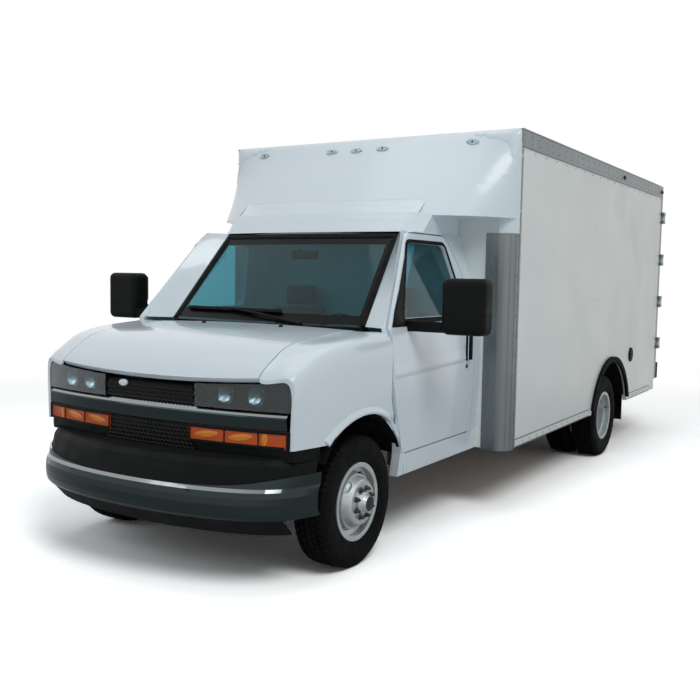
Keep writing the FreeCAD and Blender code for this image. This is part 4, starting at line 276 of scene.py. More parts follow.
def boards(name, colour):
    """Hardwood floor laid in strips along the truck."""
    made = Surface(name, colour, 0.5)
    grain = made.noise(18.0, 8, (6, 0.25, 1))
    strips = made.ramp(made.wave(1.6, "X"), 0.0, 1.0, 0.0, 0.06)
    made.coloured(strips, scaled(colour, 0.3), made.mixed(grain, scaled(colour, 0.7), scaled(colour, 1.25)))
    return made.rough(grain, 0.1, 0.1).bump(grain, 0.4).material


COLD_WHITE = srgb(230, 242, 251)
FINISHES = {
    "white_paint": (paint, COLD_WHITE),
    "white_panel": (sheet_metal, srgb(232, 239, 237)),
    "fibreglass": (gelcoat, COLD_WHITE),
    "aluminium": (brushed, srgb(124, 131, 133)),
    # The last colour of chrome is a painted dark reflection on its upright faces.
    "chrome": (bright, srgb(205, 210, 214), 0.06, srgb(52, 60, 61)),
    "black_plastic": (moulded, srgb(12, 14, 14), 0.55, 900.0, 0.12, 0.1),
    "lamp": (lens, srgb(206, 224, 230), 0.02, 120.0, "X", 1.0, 0.03),
    "glass": (glazing, srgb(104, 176, 186)),
    "tyre": (rubber, srgb(13, 14, 14)),
    "rim": (silver, srgb(196, 202, 203)),
    "steel": (cast, srgb(30, 30, 30)),
    "rubber": (rubber, srgb(11, 12, 12)),
    "trim_grey": (moulded, srgb(84, 88, 92), 0.55, 900.0, 0.12, 0.3),
    "cloth": (cloth, srgb(92, 96, 102)),
    "floor_wood": (boards, srgb(150, 116, 82)),
    "amber": (lens, srgb(214, 84, 2), 0.2, 260.0, "X", 0.15),
    # A brighter amber for the painted glints on the turn lamps' panes.
    "amber_bright": (lens, srgb(250, 150, 30), 0.15, 420.0, "Z", 0.15),
    "red": (lens, srgb(178, 16, 14), 0.14, 300.0, "Z"),
    "bulb": (lens, srgb(236, 234, 226), 0.05, 500.0),
    "seal": (rubber, srgb(12, 13, 13), 0.6, srgb(70, 68, 66)),
    "frit": (moulded, srgb(6, 7, 8), 0.3, 700.0, 0.02, 0.12),
    "marker": (lens, srgb(206, 214, 217), 0.15, 300.0, "X", 0.2),
    "net": (moulded, srgb(15, 17, 17), 0.4, 900.0, 0.03, 0.4),
    # The reflector carries a painted reflection: dark on upright faces, with a painted highlight where the
    # bowl faces up.
    "reflector": (bright, srgb(226, 230, 232), 0.05, srgb(74, 84, 88), (0.1, 0.42)),
    "drum": (cast, srgb(15, 15, 15), 0.7),
    "mirror": (bright, srgb(214, 218, 222), 0.03),
    "nut": (cast, srgb(56, 55, 54), 0.42),
}
MATERIALS = {name: row[0](name, *row[1:]) for name, row in FINISHES.items()}


def dress_nodes():
    """Every CAD node takes the finish that the record gives it."""
    for row in frame["record"]["subparts"]:
        node = NODES[row["node"]]
        node.data.materials.clear()
        node.data.materials.append(MATERIALS[row["material_slot"]])


# ---- Camera, background, floor and lamps ----
def view_axes():
    """The camera's directions: ahead, right and up."""
    ahead = Vector((-math.sin(VIEW_YAW) * math.cos(VIEW_PITCH),
                    math.cos(VIEW_YAW) * math.cos(VIEW_PITCH), -math.sin(VIEW_PITCH)))
    level = Vector((math.cos(VIEW_YAW), math.sin(VIEW_YAW), 0))
    above = level.cross(ahead)
    right = level * math.cos(VIEW_ROLL) + above * math.sin(VIEW_ROLL)
    return ahead, right, above * math.cos(VIEW_ROLL) - level * math.sin(VIEW_ROLL)


def add_camera():
    data = bpy.data.cameras.new("camera")
    data.sensor_width = SENSOR_MM
    data.lens = LENS_MM
    camera = bpy.data.objects.new("camera", data)
    bpy.context.scene.collection.objects.link(camera)
    ahead, right, up = view_axes()
    camera.matrix_world = Matrix.Translation(VIEW_POINT) @ Matrix((right, up, -ahead)).transposed().to_4x4()
    bpy.context.scene.camera = camera


def background_seen(nodes, links):
    """1 where the camera, a gloss reflection or a look through glass meets the surface."""
    path = nodes.new("ShaderNodeLightPath")
    total = path.outputs["Is Camera Ray"]
    for name in ("Is Glossy Ray", "Is Transmission Ray"):
        most = nodes.new("ShaderNodeMath")
        most.operation = "MAXIMUM"
        links.new(total, most.inputs[0])
        links.new(path.outputs[name], most.inputs[1])
        total = most.outputs[0]
    return total


def add_world():
    """White where it is seen, and a dim white light on the truck."""
    world = bpy.data.worlds.new("studio")
    bpy.context.scene.world = world
    world.use_nodes = True
    nodes, links = world.node_tree.nodes, world.node_tree.links
    back = nodes["Background"]
    back.inputs["Color"].default_value = (1, 1, 1, 1)
    strength = nodes.new("ShaderNodeMapRange")
    strength.inputs["To Min"].default_value = 0.2
    strength.inputs["To Max"].default_value = 1.0
    links.new(background_seen(nodes, links), strength.inputs["Value"])
    links.new(strength.outputs["Result"], back.inputs["Strength"])


def add_floor():
    """A pale floor that holds the truck's shadow and turns into the white background far out."""
    half, near, far = 60.0, 4.6, 8.5
    truck_middle, camera_white = (0.0, -0.6, 0.0), (2.3, 2.3, 2.3, 1)
    data = bpy.data.meshes.new("floor")
    data.from_pydata([(-half, -half, 0), (half, -half, 0), (half, half, 0), (-half, half, 0)],
                     [], [(0, 1, 2, 3)])
    floor = bpy.data.objects.new("floor", data)
    bpy.context.scene.collection.objects.link(floor)
    made = Surface("floor", (0.86, 0.87, 0.88, 1), 0.95)
    nodes, links = made.nodes, made.links
    path = nodes.new("ShaderNodeLightPath")
    speckle = made.mixed(made.noise(0.6, 3), (0.84, 0.85, 0.86, 1), (0.88, 0.89, 0.9, 1))
    pale = nodes.new("ShaderNodeBsdfDiffuse")
    links.new(made.mixed(path.outputs["Is Camera Ray"], speckle, camera_white), pale.inputs["Color"])
    centre = nodes.new("ShaderNodeVectorMath")
    centre.operation = "SUBTRACT"
    centre.inputs[1].default_value = truck_middle
    links.new(made.place, centre.inputs[0])
    away = nodes.new("ShaderNodeVectorMath")
    away.operation = "LENGTH"
    links.new(centre.outputs["Vector"], away.inputs[0])
    share = nodes.new("ShaderNodeMath")
    share.operation = "MULTIPLY"
    links.new(made.ramp(away.outputs["Value"], 0.0, 1.0, near, far), share.inputs[0])
    links.new(background_seen(nodes, links), share.inputs[1])
    both = nodes.new("ShaderNodeMixShader")
    links.new(share.outputs[0], both.inputs["Fac"])
    links.new(pale.outputs["BSDF"], both.inputs[1])
    links.new(nodes.new("ShaderNodeEmission").outputs["Emission"], both.inputs[2])
    links.new(both.outputs["Shader"], nodes["Material Output"].inputs["Surface"])
    nodes.remove(made.shader)
    data.materials.append(made.material)


def add_lights():
    """Three soft lamps: name, place, what it looks at, size, watts and colour."""
    for name, place, target, size, watts, colour in (
            ("key", (7.4, -6.6, 10.2), (0, -0.5, 1.2), 6.0, 500, (0.97, 1.0, 0.995)),
            ("top", (0.0, 0.0, 12.0), (0, 0, 0), 10.0, 210, (0.92, 0.97, 1.0)),
            ("far", (-6.0, -10.0, 7.0), (0, -1.0, 1.0), 7.0, 150, (0.88, 0.95, 1.0))):
        data = bpy.data.lights.new(name, "AREA")
        data.shape = "DISK"
        data.size = size
        data.energy = watts
        data.color = colour
        light = bpy.data.objects.new(name, data)
        light.location = place
        light.rotation_euler = (Vector(target) - Vector(place)).to_track_quat("-Z", "Y").to_euler()
        bpy.context.scene.collection.objects.link(light)


# ---- Places and skins ----
def at(x, y, z):
    """A place in the frame from millimetres: x to the truck's left, y behind the front axle, z up."""
    return Vector((x / 1000, FRONT_AXLE_Y + y / 1000, z / 1000))


@cache
def skin(node):
    """The node's mesh as a tree that rays can be cast at."""
    mesh = NODES[node].data
    return BVHTree.FromPolygons([point.co.copy() for point in mesh.vertices],
                                [tuple(face.vertices) for face in mesh.polygons])


def meet(nodes, start, toward):
    """Where a ray first meets one of the nodes and the normal there, which faces it, or None."""
    hits = [hit for hit in (skin(node).ray_cast(start, toward) for node in nodes) if hit[0] is not None]
    if not hits:
        return None
    place, normal = min(hits, key=lambda hit: hit[3])[:2]
    return place, normal if normal.dot(toward) < 0 else -normal


def met(nodes, starts, toward):
    """What the rays from starts meet. Those that meet nothing are left out."""
    return [found for found in (meet(nodes, start, toward) for start in starts) if found]


def outside(view, across, z):
    """A place in front of, left of or behind the truck, in millimetres."""
    if view == "left":
        return at(LEFT_OF_IT, across, z)
    return at(across, AHEAD_OF_IT if view == "front" else BEHIND_IT, z)


TOWARD = {"front": REARWARD, "left": SIDE_IN, "rear": -REARWARD}


def look(view, nodes, across, z):
    """What one ray from that side meets."""
    return meet(nodes, outside(view, across, z), TOWARD[view])


def looks(view, nodes, places, step=None):
    """What rays from that side meet, one for each place, or all along the line at most step apart."""
    starts = [outside(view, *place) for place in places]
    return met(nodes, spaced(starts, step) if step else starts, TOWARD[view])


def seen(nodes, across, down):
    """Where the camera's line of sight through a point of the photograph meets the nodes."""
    ahead, right, up = view_axes()
    half = PHOTO_PIXELS / 2
    toward = ahead * (PHOTO_PIXELS * LENS_MM / SENSOR_MM) + right * (across - half) - up * (down - half)
    return meet(nodes, VIEW_POINT, toward.normalized())


# ---- Lines and outlines ----
def evenly(first, last, steps):
    """Numbers from first to last in equal steps, both ends included."""
    return [first + (last - first) * step / steps for step in range(steps + 1)]


def arc(first, last, steps):
    """The same for angles in degrees, given back in radians."""
    return [math.radians(degrees) for degrees in evenly(first, last, steps)]


def turns(count):
    """Angles once round, the end left out."""
    return [2 * math.pi * step / count for step in range(count)]


def spaced(points, step):
    """The same line through points, with places at most step apart."""
    result = [points[0]]
    for first, second in zip(points, points[1:]):
        parts = max(1, math.ceil((second - first).length / step))
        result += [first.lerp(second, part / parts) for part in range(1, parts + 1)]
    return result


def mirrored(points):
    return [Vector((-p.x, p.y, p.z)) for p in points]


def rounded(points, radius, count=5):
    """A closed outline in two coordinates with its corners rounded."""
    result = []
    for index, point in enumerate(points):
        here = Vector(point)
        before, after = Vector(points[index - 1]), Vector(points[(index + 1) % len(points)])
        first = here + (before - here).normalized() * radius
        last = here + (after - here).normalized() * radius
        result += [first.lerp(here, share).lerp(here.lerp(last, share), share)
                   for share in evenly(0, 1, count)]
    return result


def flat_bead(wide, high):
    """A strip's profile: wide across and high out, with rounded shoulders, in metres."""
    half, shoulder = wide / 2, high * 0.3
    return [(-half, -high * 0.4), (-half, high - shoulder), (-half + shoulder, high),
            (half - shoulder, high), (half, high - shoulder), (half, -high * 0.4)]


def film(half, high=0.0006, under=0.001):
    """The profile of a thin layer with square edges."""
    return [(-half, -under), (-half, high), (half, high), (half, -under)]


# ---- Meshes ----
class Form:
    """A mesh under construction from swept, turned and boxed forms. A spot is (place, normal)."""

    def __init__(self):
        self.points = []
        self.faces = []

    def add(self, points, faces):
        base = len(self.points)
        self.points += [Vector(p) for p in points]
        self.faces += [tuple(base + index for index in face) for face in faces]
        return self

    def tube(self, rings, closed=False):
        """Skin a row of rings that have the same count of points."""
        count, last = len(rings[0]), len(rings) - 1
        faces = []
        for near, far in list(zip(range(last), range(1, last + 1))) + [(last, 0)] * closed:
            for index in range(count):
                following = (index + 1) % count
                faces.append((near * count + index, near * count + following,
                              far * count + following, far * count + index))
        if not closed:
            faces.append(tuple(range(count - 1, -1, -1)))
            faces.append(tuple(last * count + index for index in range(count)))
        return self.add([p for ring in rings for p in ring], faces)

    def sweep(self, spots, profile, closed=False):
        """Sweep a profile of (across, out) in metres along spots on a surface."""
        rings = []
        last = len(spots) - 1
        for index, (place, normal) in enumerate(spots):
            before = spots[index - 1][0] if index or closed else place
            after = spots[(index + 1) % (last + 1)][0] if index < last or closed else place
            along = (after - before).normalized()
            across = normal.cross(along).normalized()
            out = along.cross(across).normalized()
            rings.append([place + across * a + out * o for a, o in profile])
        return self.tube(rings, closed)

    def lay(self, view, nodes, line, profile, step=0.02):
        """Sweep a profile along a line of (across, z) millimetres, laid on nodes from that side."""
        return self.sweep(looks(view, nodes, line, step), profile)

    def lathe(self, centre, axis, rows, count=24, closed=False):
        """Turn rows of (radius, along) round an axis through centre."""
        axis = Vector(axis).normalized()
        side = axis.orthogonal().normalized()
        up = axis.cross(side)
        return self.tube([[centre + axis * along + (side * math.cos(turn) + up * math.sin(turn)) * radius
                           for turn in turns(count)] for radius, along in rows], closed)

    def ovals(self, place, axes, half_sizes, rows, count=28):
        """Skin ovals round place: rows of (share of the full size, height along the third axis)."""
        side, up, out = axes
        wide, tall = half_sizes
        return self.tube([[place + out * high + side * (wide * share * math.cos(turn))
                           + up * (tall * share * math.sin(turn)) for turn in turns(count)]
                          for share, high in rows])

    def block(self, low, high):
        """A box between two corners, in the frame's axes."""
        points = [(x, y, z) for x in (low[0], high[0]) for y in (low[1], high[1]) for z in (low[2], high[2])]
        return self.add(points, [(0, 1, 3, 2), (4, 6, 7, 5), (0, 4, 5, 1), (2, 3, 7, 6), (0, 2, 6, 4),
                                 (1, 5, 7, 3)])

    def heads(self, spots, radius, high, count=10):
        """Domed fastener heads at spots."""
        for place, normal in spots:
            self.lathe(place, normal, [(radius, -high * 0.5), (radius, high * 0.25),
                                       (radius * 0.8, high * 0.75), (radius * 0.4, high),
                                       (radius * 0.3, high * 0.7)], count)
        return self

    def plate(self, spots, thick):
        """A thin plate over an outline of spots."""
        return self.tube([[place - normal * thick * 0.3 for place, normal in spots],
                          [place + normal * thick for place, normal in spots]])

    def both_sides(self):
        """Add the same forms again on the other side of the truck."""
        return self.add(mirrored(self.points), [tuple(reversed(face)) for face in self.faces])

    def pair(self, name, body, *finish, **shape):
        """A piece for each side's body: the form for the left, its mirror image for the right."""
        self.done(name + "left", body % "left", *finish, **shape)
        self.points = mirrored(self.points)
        self.done(name + "right", body % "right", *finish, **shape)

    def done(self, name, body, material, slot=None, sharp=35, bevel=0.0, segments=2, replaces=()):
        data = bpy.data.meshes.new(name)
        data.from_pydata([tuple(p) for p in self.points], [], self.faces)
        mesh = bmesh.new()
        mesh.from_mesh(data)
        bmesh.ops.remove_doubles(mesh, verts=mesh.verts, dist=1e-5)
        bmesh.ops.recalc_face_normals(mesh, faces=mesh.faces)
        if bevel:
            edges = [edge for edge in mesh.edges if len(edge.link_faces) == 2
                     and edge.calc_face_angle(0) > math.radians(sharp)]
            bmesh.ops.bevel(mesh, geom=edges, offset=bevel, segments=segments, profile=0.5,
                            affect="EDGES", clamp_overlap=True)
        mesh.to_mesh(data)
        mesh.free()
        data.shade_smooth()
        data.set_sharp_from_angle(angle=math.radians(sharp))
        data.materials.append(MATERIALS[material])
        piece = bpy.data.objects.new(name, data)
        bpy.context.scene.collection.objects.link(piece)
        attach(piece, body)
        if replaces:
            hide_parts(*replaces)
        return piece


# ---- Cab and nose ----
DOOR_BODY = "door_%s_body"


def nose_y(x):
    """The nose's plan curve, in millimetres behind the front axle."""
    across = x / 1000
    return -698 + 87 * across ** 2 + 42 * across ** 4


def window_surround():
    """The seal round each side window and the belt strip under it."""
    outline = [tuple(p) for p in rounded([(404, 1371), (1322, 1371), (1216, 1851), (681, 1851)], 46)]
    spots = looks("left", ["door_left"], outline + outline[:1], 0.02)
    form = Form().sweep(spots[:-1], flat_bead(0.024, 0.004), closed=True)
    form.lay("left", ["door_left"], [(440, 1362), (1300, 1362)], flat_bead(0.02, 0.008))
    form.pair("window_surround_", DOOR_BODY, "seal", "rubber")


def door_sails():
    """The black plate between the door's front edge and its window."""
    outline = [(262, 1338), (470, 1338), (470, 1362), (404, 1374), (520, 1590), (610, 1752), (560, 1730),
               (440, 1545), (330, 1430)]
    sail = Form().plate(looks("left", ["door_left"], outline), 0.004)
    sail.pair("door_sail_", DOOR_BODY, "black_plastic", bevel=0.001)


def door_fittings():
    """Pull handle, lock and the crease along the side."""
    spots = looks("left", ["door_left"], [(1263, 1076), (1263, 1264)], 0.05)
    base = sum(place.x for place, _ in spots) / len(spots)
    low, high = at(0, 1247, 1078), at(0, 1279, 1262)
    grip = Form().block((base - 0.012, low.y, low.z), (base + 0.006, high.y, high.z))
    grip.block((base + 0.004, low.y + 0.004, low.z + 0.006), (base + 0.03, high.y - 0.004, high.z - 0.006))
    grip.pair("door_handle_", DOOR_BODY, "black_plastic", bevel=0.006, segments=3)
    key, out = look("left", ["door_left"], 1262, 1040)
    lock = Form().lathe(key, out, [(0.015, -0.004), (0.015, 0.003), (0.012, 0.005), (0.004, 0.005),
                                   (0.003, 0.001)], 20)
    lock.pair("door_lock_", DOOR_BODY, "chrome", sharp=30)
    fold = [(-0.034, -0.0015), (-0.01, 0.0055), (0.0, 0.0064), (0.03, 0.0035), (0.062, -0.0015)]
    crease = Form().lay("left", ["door_left"], [(262, 1066), (1236, 1100)], fold, 0.03)
    crease.pair("door_crease_", DOOR_BODY, "white_paint")


def mirrors():
    """Mirror glasses, a small one under a tall one, and the seam round each head."""
    head_in, head_out = 1.222, 1.464
    for side, sign in SIDES:
        low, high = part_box("mirror_" + side)
        top, foot = high.z - 0.02, high.z - 0.31
        split = foot + 0.1
        glass = Form()
        for z_low, z_high in ((foot, split - 0.008), (split + 0.008, top)):
            outline = rounded([(head_in, z_low), (head_out, z_low), (head_out, z_high), (head_in, z_high)],
                              0.018, 4)
            middle = Vector(((head_in + head_out) / 2, (z_low + z_high) / 2))
            rings = []
            for back, shrink in ((-0.004, 0.0), (0.001, 0.0), (0.002, 0.012)):
                ring = [p.lerp(middle, shrink) for p in outline]
                rings.append([Vector((p.x, high.y + back, p.y)) for p in ring])
            glass.tube(rings)
        middle = Vector((1.3415, (low.y + high.y) / 2, split))
        rays = [Vector((-math.cos(turn), -math.sin(turn), 0)) for turn in turns(48)]
        spots = [meet(["mirror_left"], middle - ray * 0.5, ray) for ray in rays]
        seam = Form().sweep([spot for spot in spots if spot], film(0.0025, 0.0012, 0.002), closed=True)
        for form, name, finish, slot in ((glass, "mirror_glass_", "mirror", "chrome"),
                                         (seam, "mirror_seam_", "seal", "rubber")):
            if sign < 0:
                form.points = mirrored(form.points)
            form.done(name + side, DOOR_BODY % side, finish, slot)


def windshield_trim():
    """The rubber round the glass and the black ceramic band printed on its rim."""
    glass = ["windshield"]
    foot_half, foot_z, top_half, top_z = 735, 1330, 676, 1888
    line = [(foot_half, foot_z)] + [(x, top_z) for x in evenly(top_half, -top_half, 4)]
    line.append((-foot_half, foot_z))
    seal = [(-0.022, -0.004), (-0.022, 0.006), (-0.012, 0.009), (0.010, 0.009), (0.018, 0.003),
            (0.018, -0.004)]
    Form().lay("front", glass, line, seal, 0.03).done("windshield_rubber", "chassis", "seal", "rubber")
    band = Form()
    for half, z, width in ((650, top_z - 34, 0.025), (716, foot_z + 34, 0.035)):
        band.lay("front", glass, [(x, z) for x in evenly(half, -half, 4)], film(width), 0.03)
    for _, sign in SIDES:
        line = [(sign * (foot_half - 24), foot_z + 20), (sign * (top_half - 24), top_z - 20)]
        band.lay("front", glass, line, film(0.014), 0.03)
    band.done("windshield_band", "chassis", "frit", "black_plastic")


def wipers():
    """The left wiper: its blade on the glass where the photograph shows it, and its arm."""
    first, last = [seen(["windshield"], *spot)[0] for spot in ((211, 309.5), (282.3, 313))]
    line = [first + (first - last) * 0.35] + [first.lerp(last, share) for share in evenly(0, 1, 4)]
    spots = met(["windshield"], spaced([p - REARWARD * 0.3 for p in line], 0.03), REARWARD)
    blade = Form().sweep(spots, [(-0.003, -0.001), (-0.003, 0.012), (-0.011, 0.014), (-0.011, 0.021),
                                 (0.011, 0.021), (0.011, 0.014), (0.003, 0.012), (0.003, -0.001)])
    blade.done("wiper_blades", "chassis", "seal", "rubber")
    place, normal = spots[len(spots) // 2]
    middle, arm_out = place + normal * 0.028, Vector((0, -0.55, 0.83))
    foot = seen(["windshield", "hood", "firewall", "cab_sides"], 300.7, 325.6)[0]
    hub = foot + Vector((0, -0.01, 0.012))
    path = spaced([middle, middle.lerp(hub, 0.5) + Vector((0, -0.012, 0.006)), hub], 0.05)
    arm = Form().sweep([(p, arm_out) for p in path], [(-0.008, -0.004), (-0.008, 0.003), (-0.004, 0.006),
                                                      (0.004, 0.006), (0.008, 0.003), (0.008, -0.004)])
    arm.lathe(hub, arm_out, [(0.016, -0.02), (0.016, 0.008), (0.011, 0.015), (0.006, 0.016)], 20)
    arm.done("wiper_arms", "chassis", "black_plastic")


def cowl():
    """The louvred black panel between the hood and the windshield."""
    glass_foot, panel_z = 1331, 1253
    rows = []
    for x in evenly(-735, 735, 30):
        glass = look("front", ["windshield"], x, glass_foot)
        rear = glass[0] if glass else at(x, 300, glass_foot)
        front = at(rear.x * 1000, 236, panel_z)
        rows.append([front + Vector((0, 0, -0.010)), front, Vector((rear.x, rear.y - 0.012, 1.2545)),
                     rear + Vector((0, -0.005, -0.014)), rear + Vector((0, 0.002, -0.03)),
                     Vector((rear.x, rear.y, 1.243))])
    form = Form().tube(rows)
    for x in range(-700, 701, 40):
        for place, _ in looks("front", ["windshield"], [(x, glass_foot)]):
            louvre = [at(place.x * 1000, 242, panel_z + 0.2), Vector((place.x, place.y - 0.016, 1.2542))]
            form.sweep([(p, UPWARD) for p in louvre], flat_bead(0.012, 0.003))
    form.done("cowl_panel", "chassis", "black_plastic")


def lamp_insides():
    """Bright stepped bowls and bulbs in the headlamps."""
    bowls, bulbs = Form(), Form()
    radius, deep, behind_nose = 70.9, 45.0, 27
    inner, outer = (radius - 1.8) / 1000, (radius - 0.8) / 1000
    leans = arc(4, 47.2, 12)
    shell = [(inner * math.sin(lean), inner * math.cos(lean)) for lean in leans]
    shell += [(outer * math.sin(lean), outer * math.cos(lean)) for lean in reversed(leans)]
    for x in (498.6, 678.4):
        middle = at(x, nose_y(x) + behind_nose + deep - radius, 1009)
        bowls.lathe(middle, REARWARD, shell, 40, closed=True)
        for reach in evenly(0.022, 0.052, 4):
            along = math.sqrt(inner ** 2 - reach ** 2)
            bowls.lathe(middle, REARWARD, [(reach, along - 0.001), (reach + 0.001, along - 0.0022),
                                           (reach + 0.002, along - 0.001)], 40, closed=True)
        bulbs.lathe(middle + REARWARD * inner, -REARWARD,
                    [(0.009, -0.004), (0.009, 0.006), (0.006, 0.009), (0.006, 0.028), (0.0045, 0.033),
                     (0.001, 0.035)], 20)
    # The bowls' finish paints a dark reflection on their upright faces and a highlight where they face up.
    bowls.both_sides().done("headlamp_bowls", "chassis", "reflector", "chrome")
    bulbs.both_sides().done("headlamp_bulbs", "chassis", "bulb", "lamp")


def turn_lamp_trim():
    """Dividers of the amber lamps, and small amber domes in a brighter colour on their panes: painted glints.
    """
    bars, painted_glints, lamps = Form(), Form(), ["turn_lamps"]
    for x in (516, 714):
        bars.lay("front", lamps, [(x, z) for z in (752, 796, 840)], flat_bead(0.007, 0.003))
    for z, wide in ((834, 0.016), (757, 0.013)):
        bars.lay("front", lamps, [(x, z) for x in (292, 480, 680, 885)], flat_bead(wide, 0.004), 0.03)
    for x, wide in ((876, 0.024), (298, 0.01)):
        bars.lay("front", lamps, [(x, 751), (x, 841)], flat_bead(wide, 0.004))
    # Flattened domes in a brighter amber, painted glints on the lamps' panes.
    for x, tilt in ((404, 0.1), (612, 0.14), (748, 1.45)):
        for z, wide, tall in ((798, 0.078, 0.017), (786, 0.05, 0.009)):
            for place, out in looks("front", lamps, [(x, z)]):
                level = UPWARD.cross(out).normalized()
                rise = out.cross(level)
                side = level * math.cos(tilt) + rise * math.sin(tilt)
                up = rise * math.cos(tilt) - level * math.sin(tilt)
                rows = [(share, 0.004 * (1 - share ** 2) - 0.0005) for share in (1.0, 0.8, 0.5, 0.2)]
                painted_glints.ovals(place, (side, up, out), (wide * (1 - 0.45 * min(1.0, tilt)), tall), rows, 24)
    bars.both_sides().done("turn_lamp_dividers", "chassis", "black_plastic")
    painted_glints.both_sides().done("turn_lamp_painted_glints", "chassis", "amber_bright", "amber")


def grille_cap():
    """The small white oval cover on the upper grille, with its clip ring."""
    place = at(-184, nose_y(-184) + 11, 1022)
    form = Form().ovals(place, (LEFTWARD, UPWARD, -REARWARD), (0.031, 0.019),
                        ((1.0, -0.006), (1.0, 0.004), (0.9, 0.008), (0.55, 0.0105), (0.15, 0.011)), 32)
    form.done("grille_cap", "chassis", "white_paint")


def hood_fittings():
    """Washer jets near the hood's rear edge."""
    form = Form()
    for x in (-300, 300):
        place, out = meet(["hood"], at(x, 120, 2500), -UPWARD)
        form.lathe(place, out, [(0.014, -0.004), (0.014, 0.003), (0.010, 0.010), (0.004, 0.012)], 20)
    form.done("washer_jets", "hood_body", "black_plastic")


def arch_lips():
    """The rolled lip round each front wheel arch."""
    arch_y, arch_z, radius = -20, 395, 494
    line = [(arch_y + radius * math.cos(turn), arch_z + radius * math.sin(turn))
            for turn in arc(150, -15, 40)]
    spots = looks("left", ["fenders", "cab_sides"], line, 0.03)
    widths = [place.x for place, _ in spots]
    smooth = []
    for index, (place, _) in enumerate(spots):
        near = sorted(widths[max(0, index - 4):index + 5])
        third = len(near) // 3
        middling = near[third:third * 2 + 1]
        place.x = sum(middling) / len(middling)
        lean = (place - at(place.x * 1000, arch_y, arch_z)).normalized()
        smooth.append((place, (LEFTWARD + lean * 0.12).normalized()))
    form = Form().sweep(smooth, [(-0.016, -0.004), (-0.016, 0.006), (-0.006, 0.011), (0.012, 0.008),
                                 (0.03, 0.0005), (0.03, -0.004)])
    form.both_sides().done("arch_lips", "chassis", "white_paint")


def fascia():
    """The black panel behind the lamps' lower edge that runs round to the wheel arches."""
    path = [at(932, -400, 0), at(925, -455, 0)]
    path += [at(x, nose_y(x) + 35, 0) for x in range(890, -891, -89)]
    path += mirrored(path[1::-1])
    rings = []
    for index, place in enumerate(path):
        along = (path[min(len(path) - 1, index + 1)] - path[max(0, index - 1)]).normalized()
        out = Vector((-along.y, along.x, 0)) * 0.004
        rings.append([place + out * side + UPWARD * height for side, height in
                      ((1, 0.684), (1.6, 0.72), (1, 0.757), (-1, 0.757), (-1, 0.684))])
    Form().tube(rings).done("nose_fascia", "chassis", "black_plastic")


def grille_net():
    """Fine honeycomb in front of the grille plate, over and under the chrome bar."""
    form = Form()
    pitch, half_width, edge = 26.0, 312, 8
    rise = pitch * math.sqrt(3) / 2
    hole, wall = pitch / math.sqrt(3) * 0.51, pitch * 0.43
    for low, high in ((948, 1034), (706, 838)):
        rows = int((high - low) / rise)
        for row in range(rows + 1):
            z = (low + high) / 2 + (row - rows / 2) * rise * 0.97
            for column in range(-12, 13):
                x = (column + (0.5 if row % 2 else 0.0)) * pitch
                if abs(x) > half_width or not low + edge < z < high - edge:
                    continue
                form.tube([[at(x + radius * math.sin(turn), nose_y(x) + 22 + out, z + radius * math.cos(turn))
                            for turn in turns(6)]
                           for radius, out in ((hole, 0), (hole, -7), (wall, -8), (wall, 0))], closed=True)
    form.done("grille_net", "chassis", "net", "black_plastic", sharp=30)


def wheel_liners():
    """Black liners inside the wheel arches, front and rear, each with a wall on its inner side."""
    form = Form()
    inner, thick = 0.66, 0.003
    for centre, radius, outer, first, last, wall in ((at(0, -20, 395), 0.472, 0.975, 24, 146, 0.006),
                                                     (at(0, 4065, 285), 0.596, 1.205, 22, 158, 0.18)):
        section = ((radius, inner), (radius, outer), (radius - thick, outer), (radius - thick, inner + thick),
                   (radius - wall, inner + thick), (radius - wall, inner))
        form.tube([[centre + Vector((x, reach * math.cos(turn), reach * math.sin(turn)))
                    for reach, x in section] for turn in arc(first, last, 36)])
    form.both_sides().done("wheel_liners", "chassis", "rubber")


# ---- Wheels ----
def tread_rows():
    """A tyre's section from bead to bead: (along, radius, groove depth, kind) in metres."""
    wall = [(0.0872, 0.2046), (0.0878, 0.2200), (0.0935, 0.2300), (0.0985, 0.2385), (0.0988, 0.2425),
            (0.0975, 0.2450), (0.1035, 0.2620), (0.1042, 0.2650), (0.1075, 0.2800), (0.1098, 0.2960),
            (0.1090, 0.3120), (0.1060, 0.3280), (0.1062, 0.3310), (0.1020, 0.3420), (0.0960, 0.3530),
            (0.0880, 0.3620)]
    crown = [(0.0830, "shoulder"), (0.0585, "shoulder"), (0.0570, "groove"), (0.0490, "groove"),
             (0.0475, "rib"), (0.0230, "rib"), (0.0215, "groove"), (0.0145, "groove"), (0.0130, "middle")]
    rows = [(along, radius, 0.0, "wall") for along, radius in wall]
    for along, kind in crown:
        radius = 0.3718 - 0.62 * max(0.0, along - 0.012) ** 2
        rows.append((along, radius, 0.010 if kind == "groove" else 0.0, kind))
    return rows + [(-along, radius, deep, kind) for along, radius, deep, kind in reversed(rows)]


def tyre(form, x, y):
    """A road tyre with block tread, four grooves and ringed walls; its axle lies along x."""
    rows, centre, rings = tread_rows(), at(x, y, HUB_Z_MM), []
    for pitch in range(60):
        weave = 0.0022 * (1 if pitch % 2 else -1)
        for degree in (0.0, 0.6, 0.85, 2.9, 3.15, 3.65, 3.9, 5.75):
            turn = math.radians(pitch * 6 + degree)
            first_cut, second_cut = degree < 0.8, 3.0 < degree < 3.8
            ring = []
            for along, radius, cut, kind in rows:
                if first_cut and kind == "shoulder":
                    cut = 0.008
                elif first_cut and kind == "middle" and pitch % 2:
                    cut = 0.004
                elif first_cut and kind == "wall" and 0.352 < radius < 0.364:
                    cut = 0.003
                elif second_cut and kind == "rib":
                    cut = 0.006
                shift = weave if kind in ("groove", "rib") and abs(along) < 0.05 else 0.0
                reach = radius - cut
                ring.append(centre + Vector((along + shift, reach * math.sin(turn), -reach * math.cos(turn))))
            rings.append(ring)
    return form.tube(rings, closed=True)


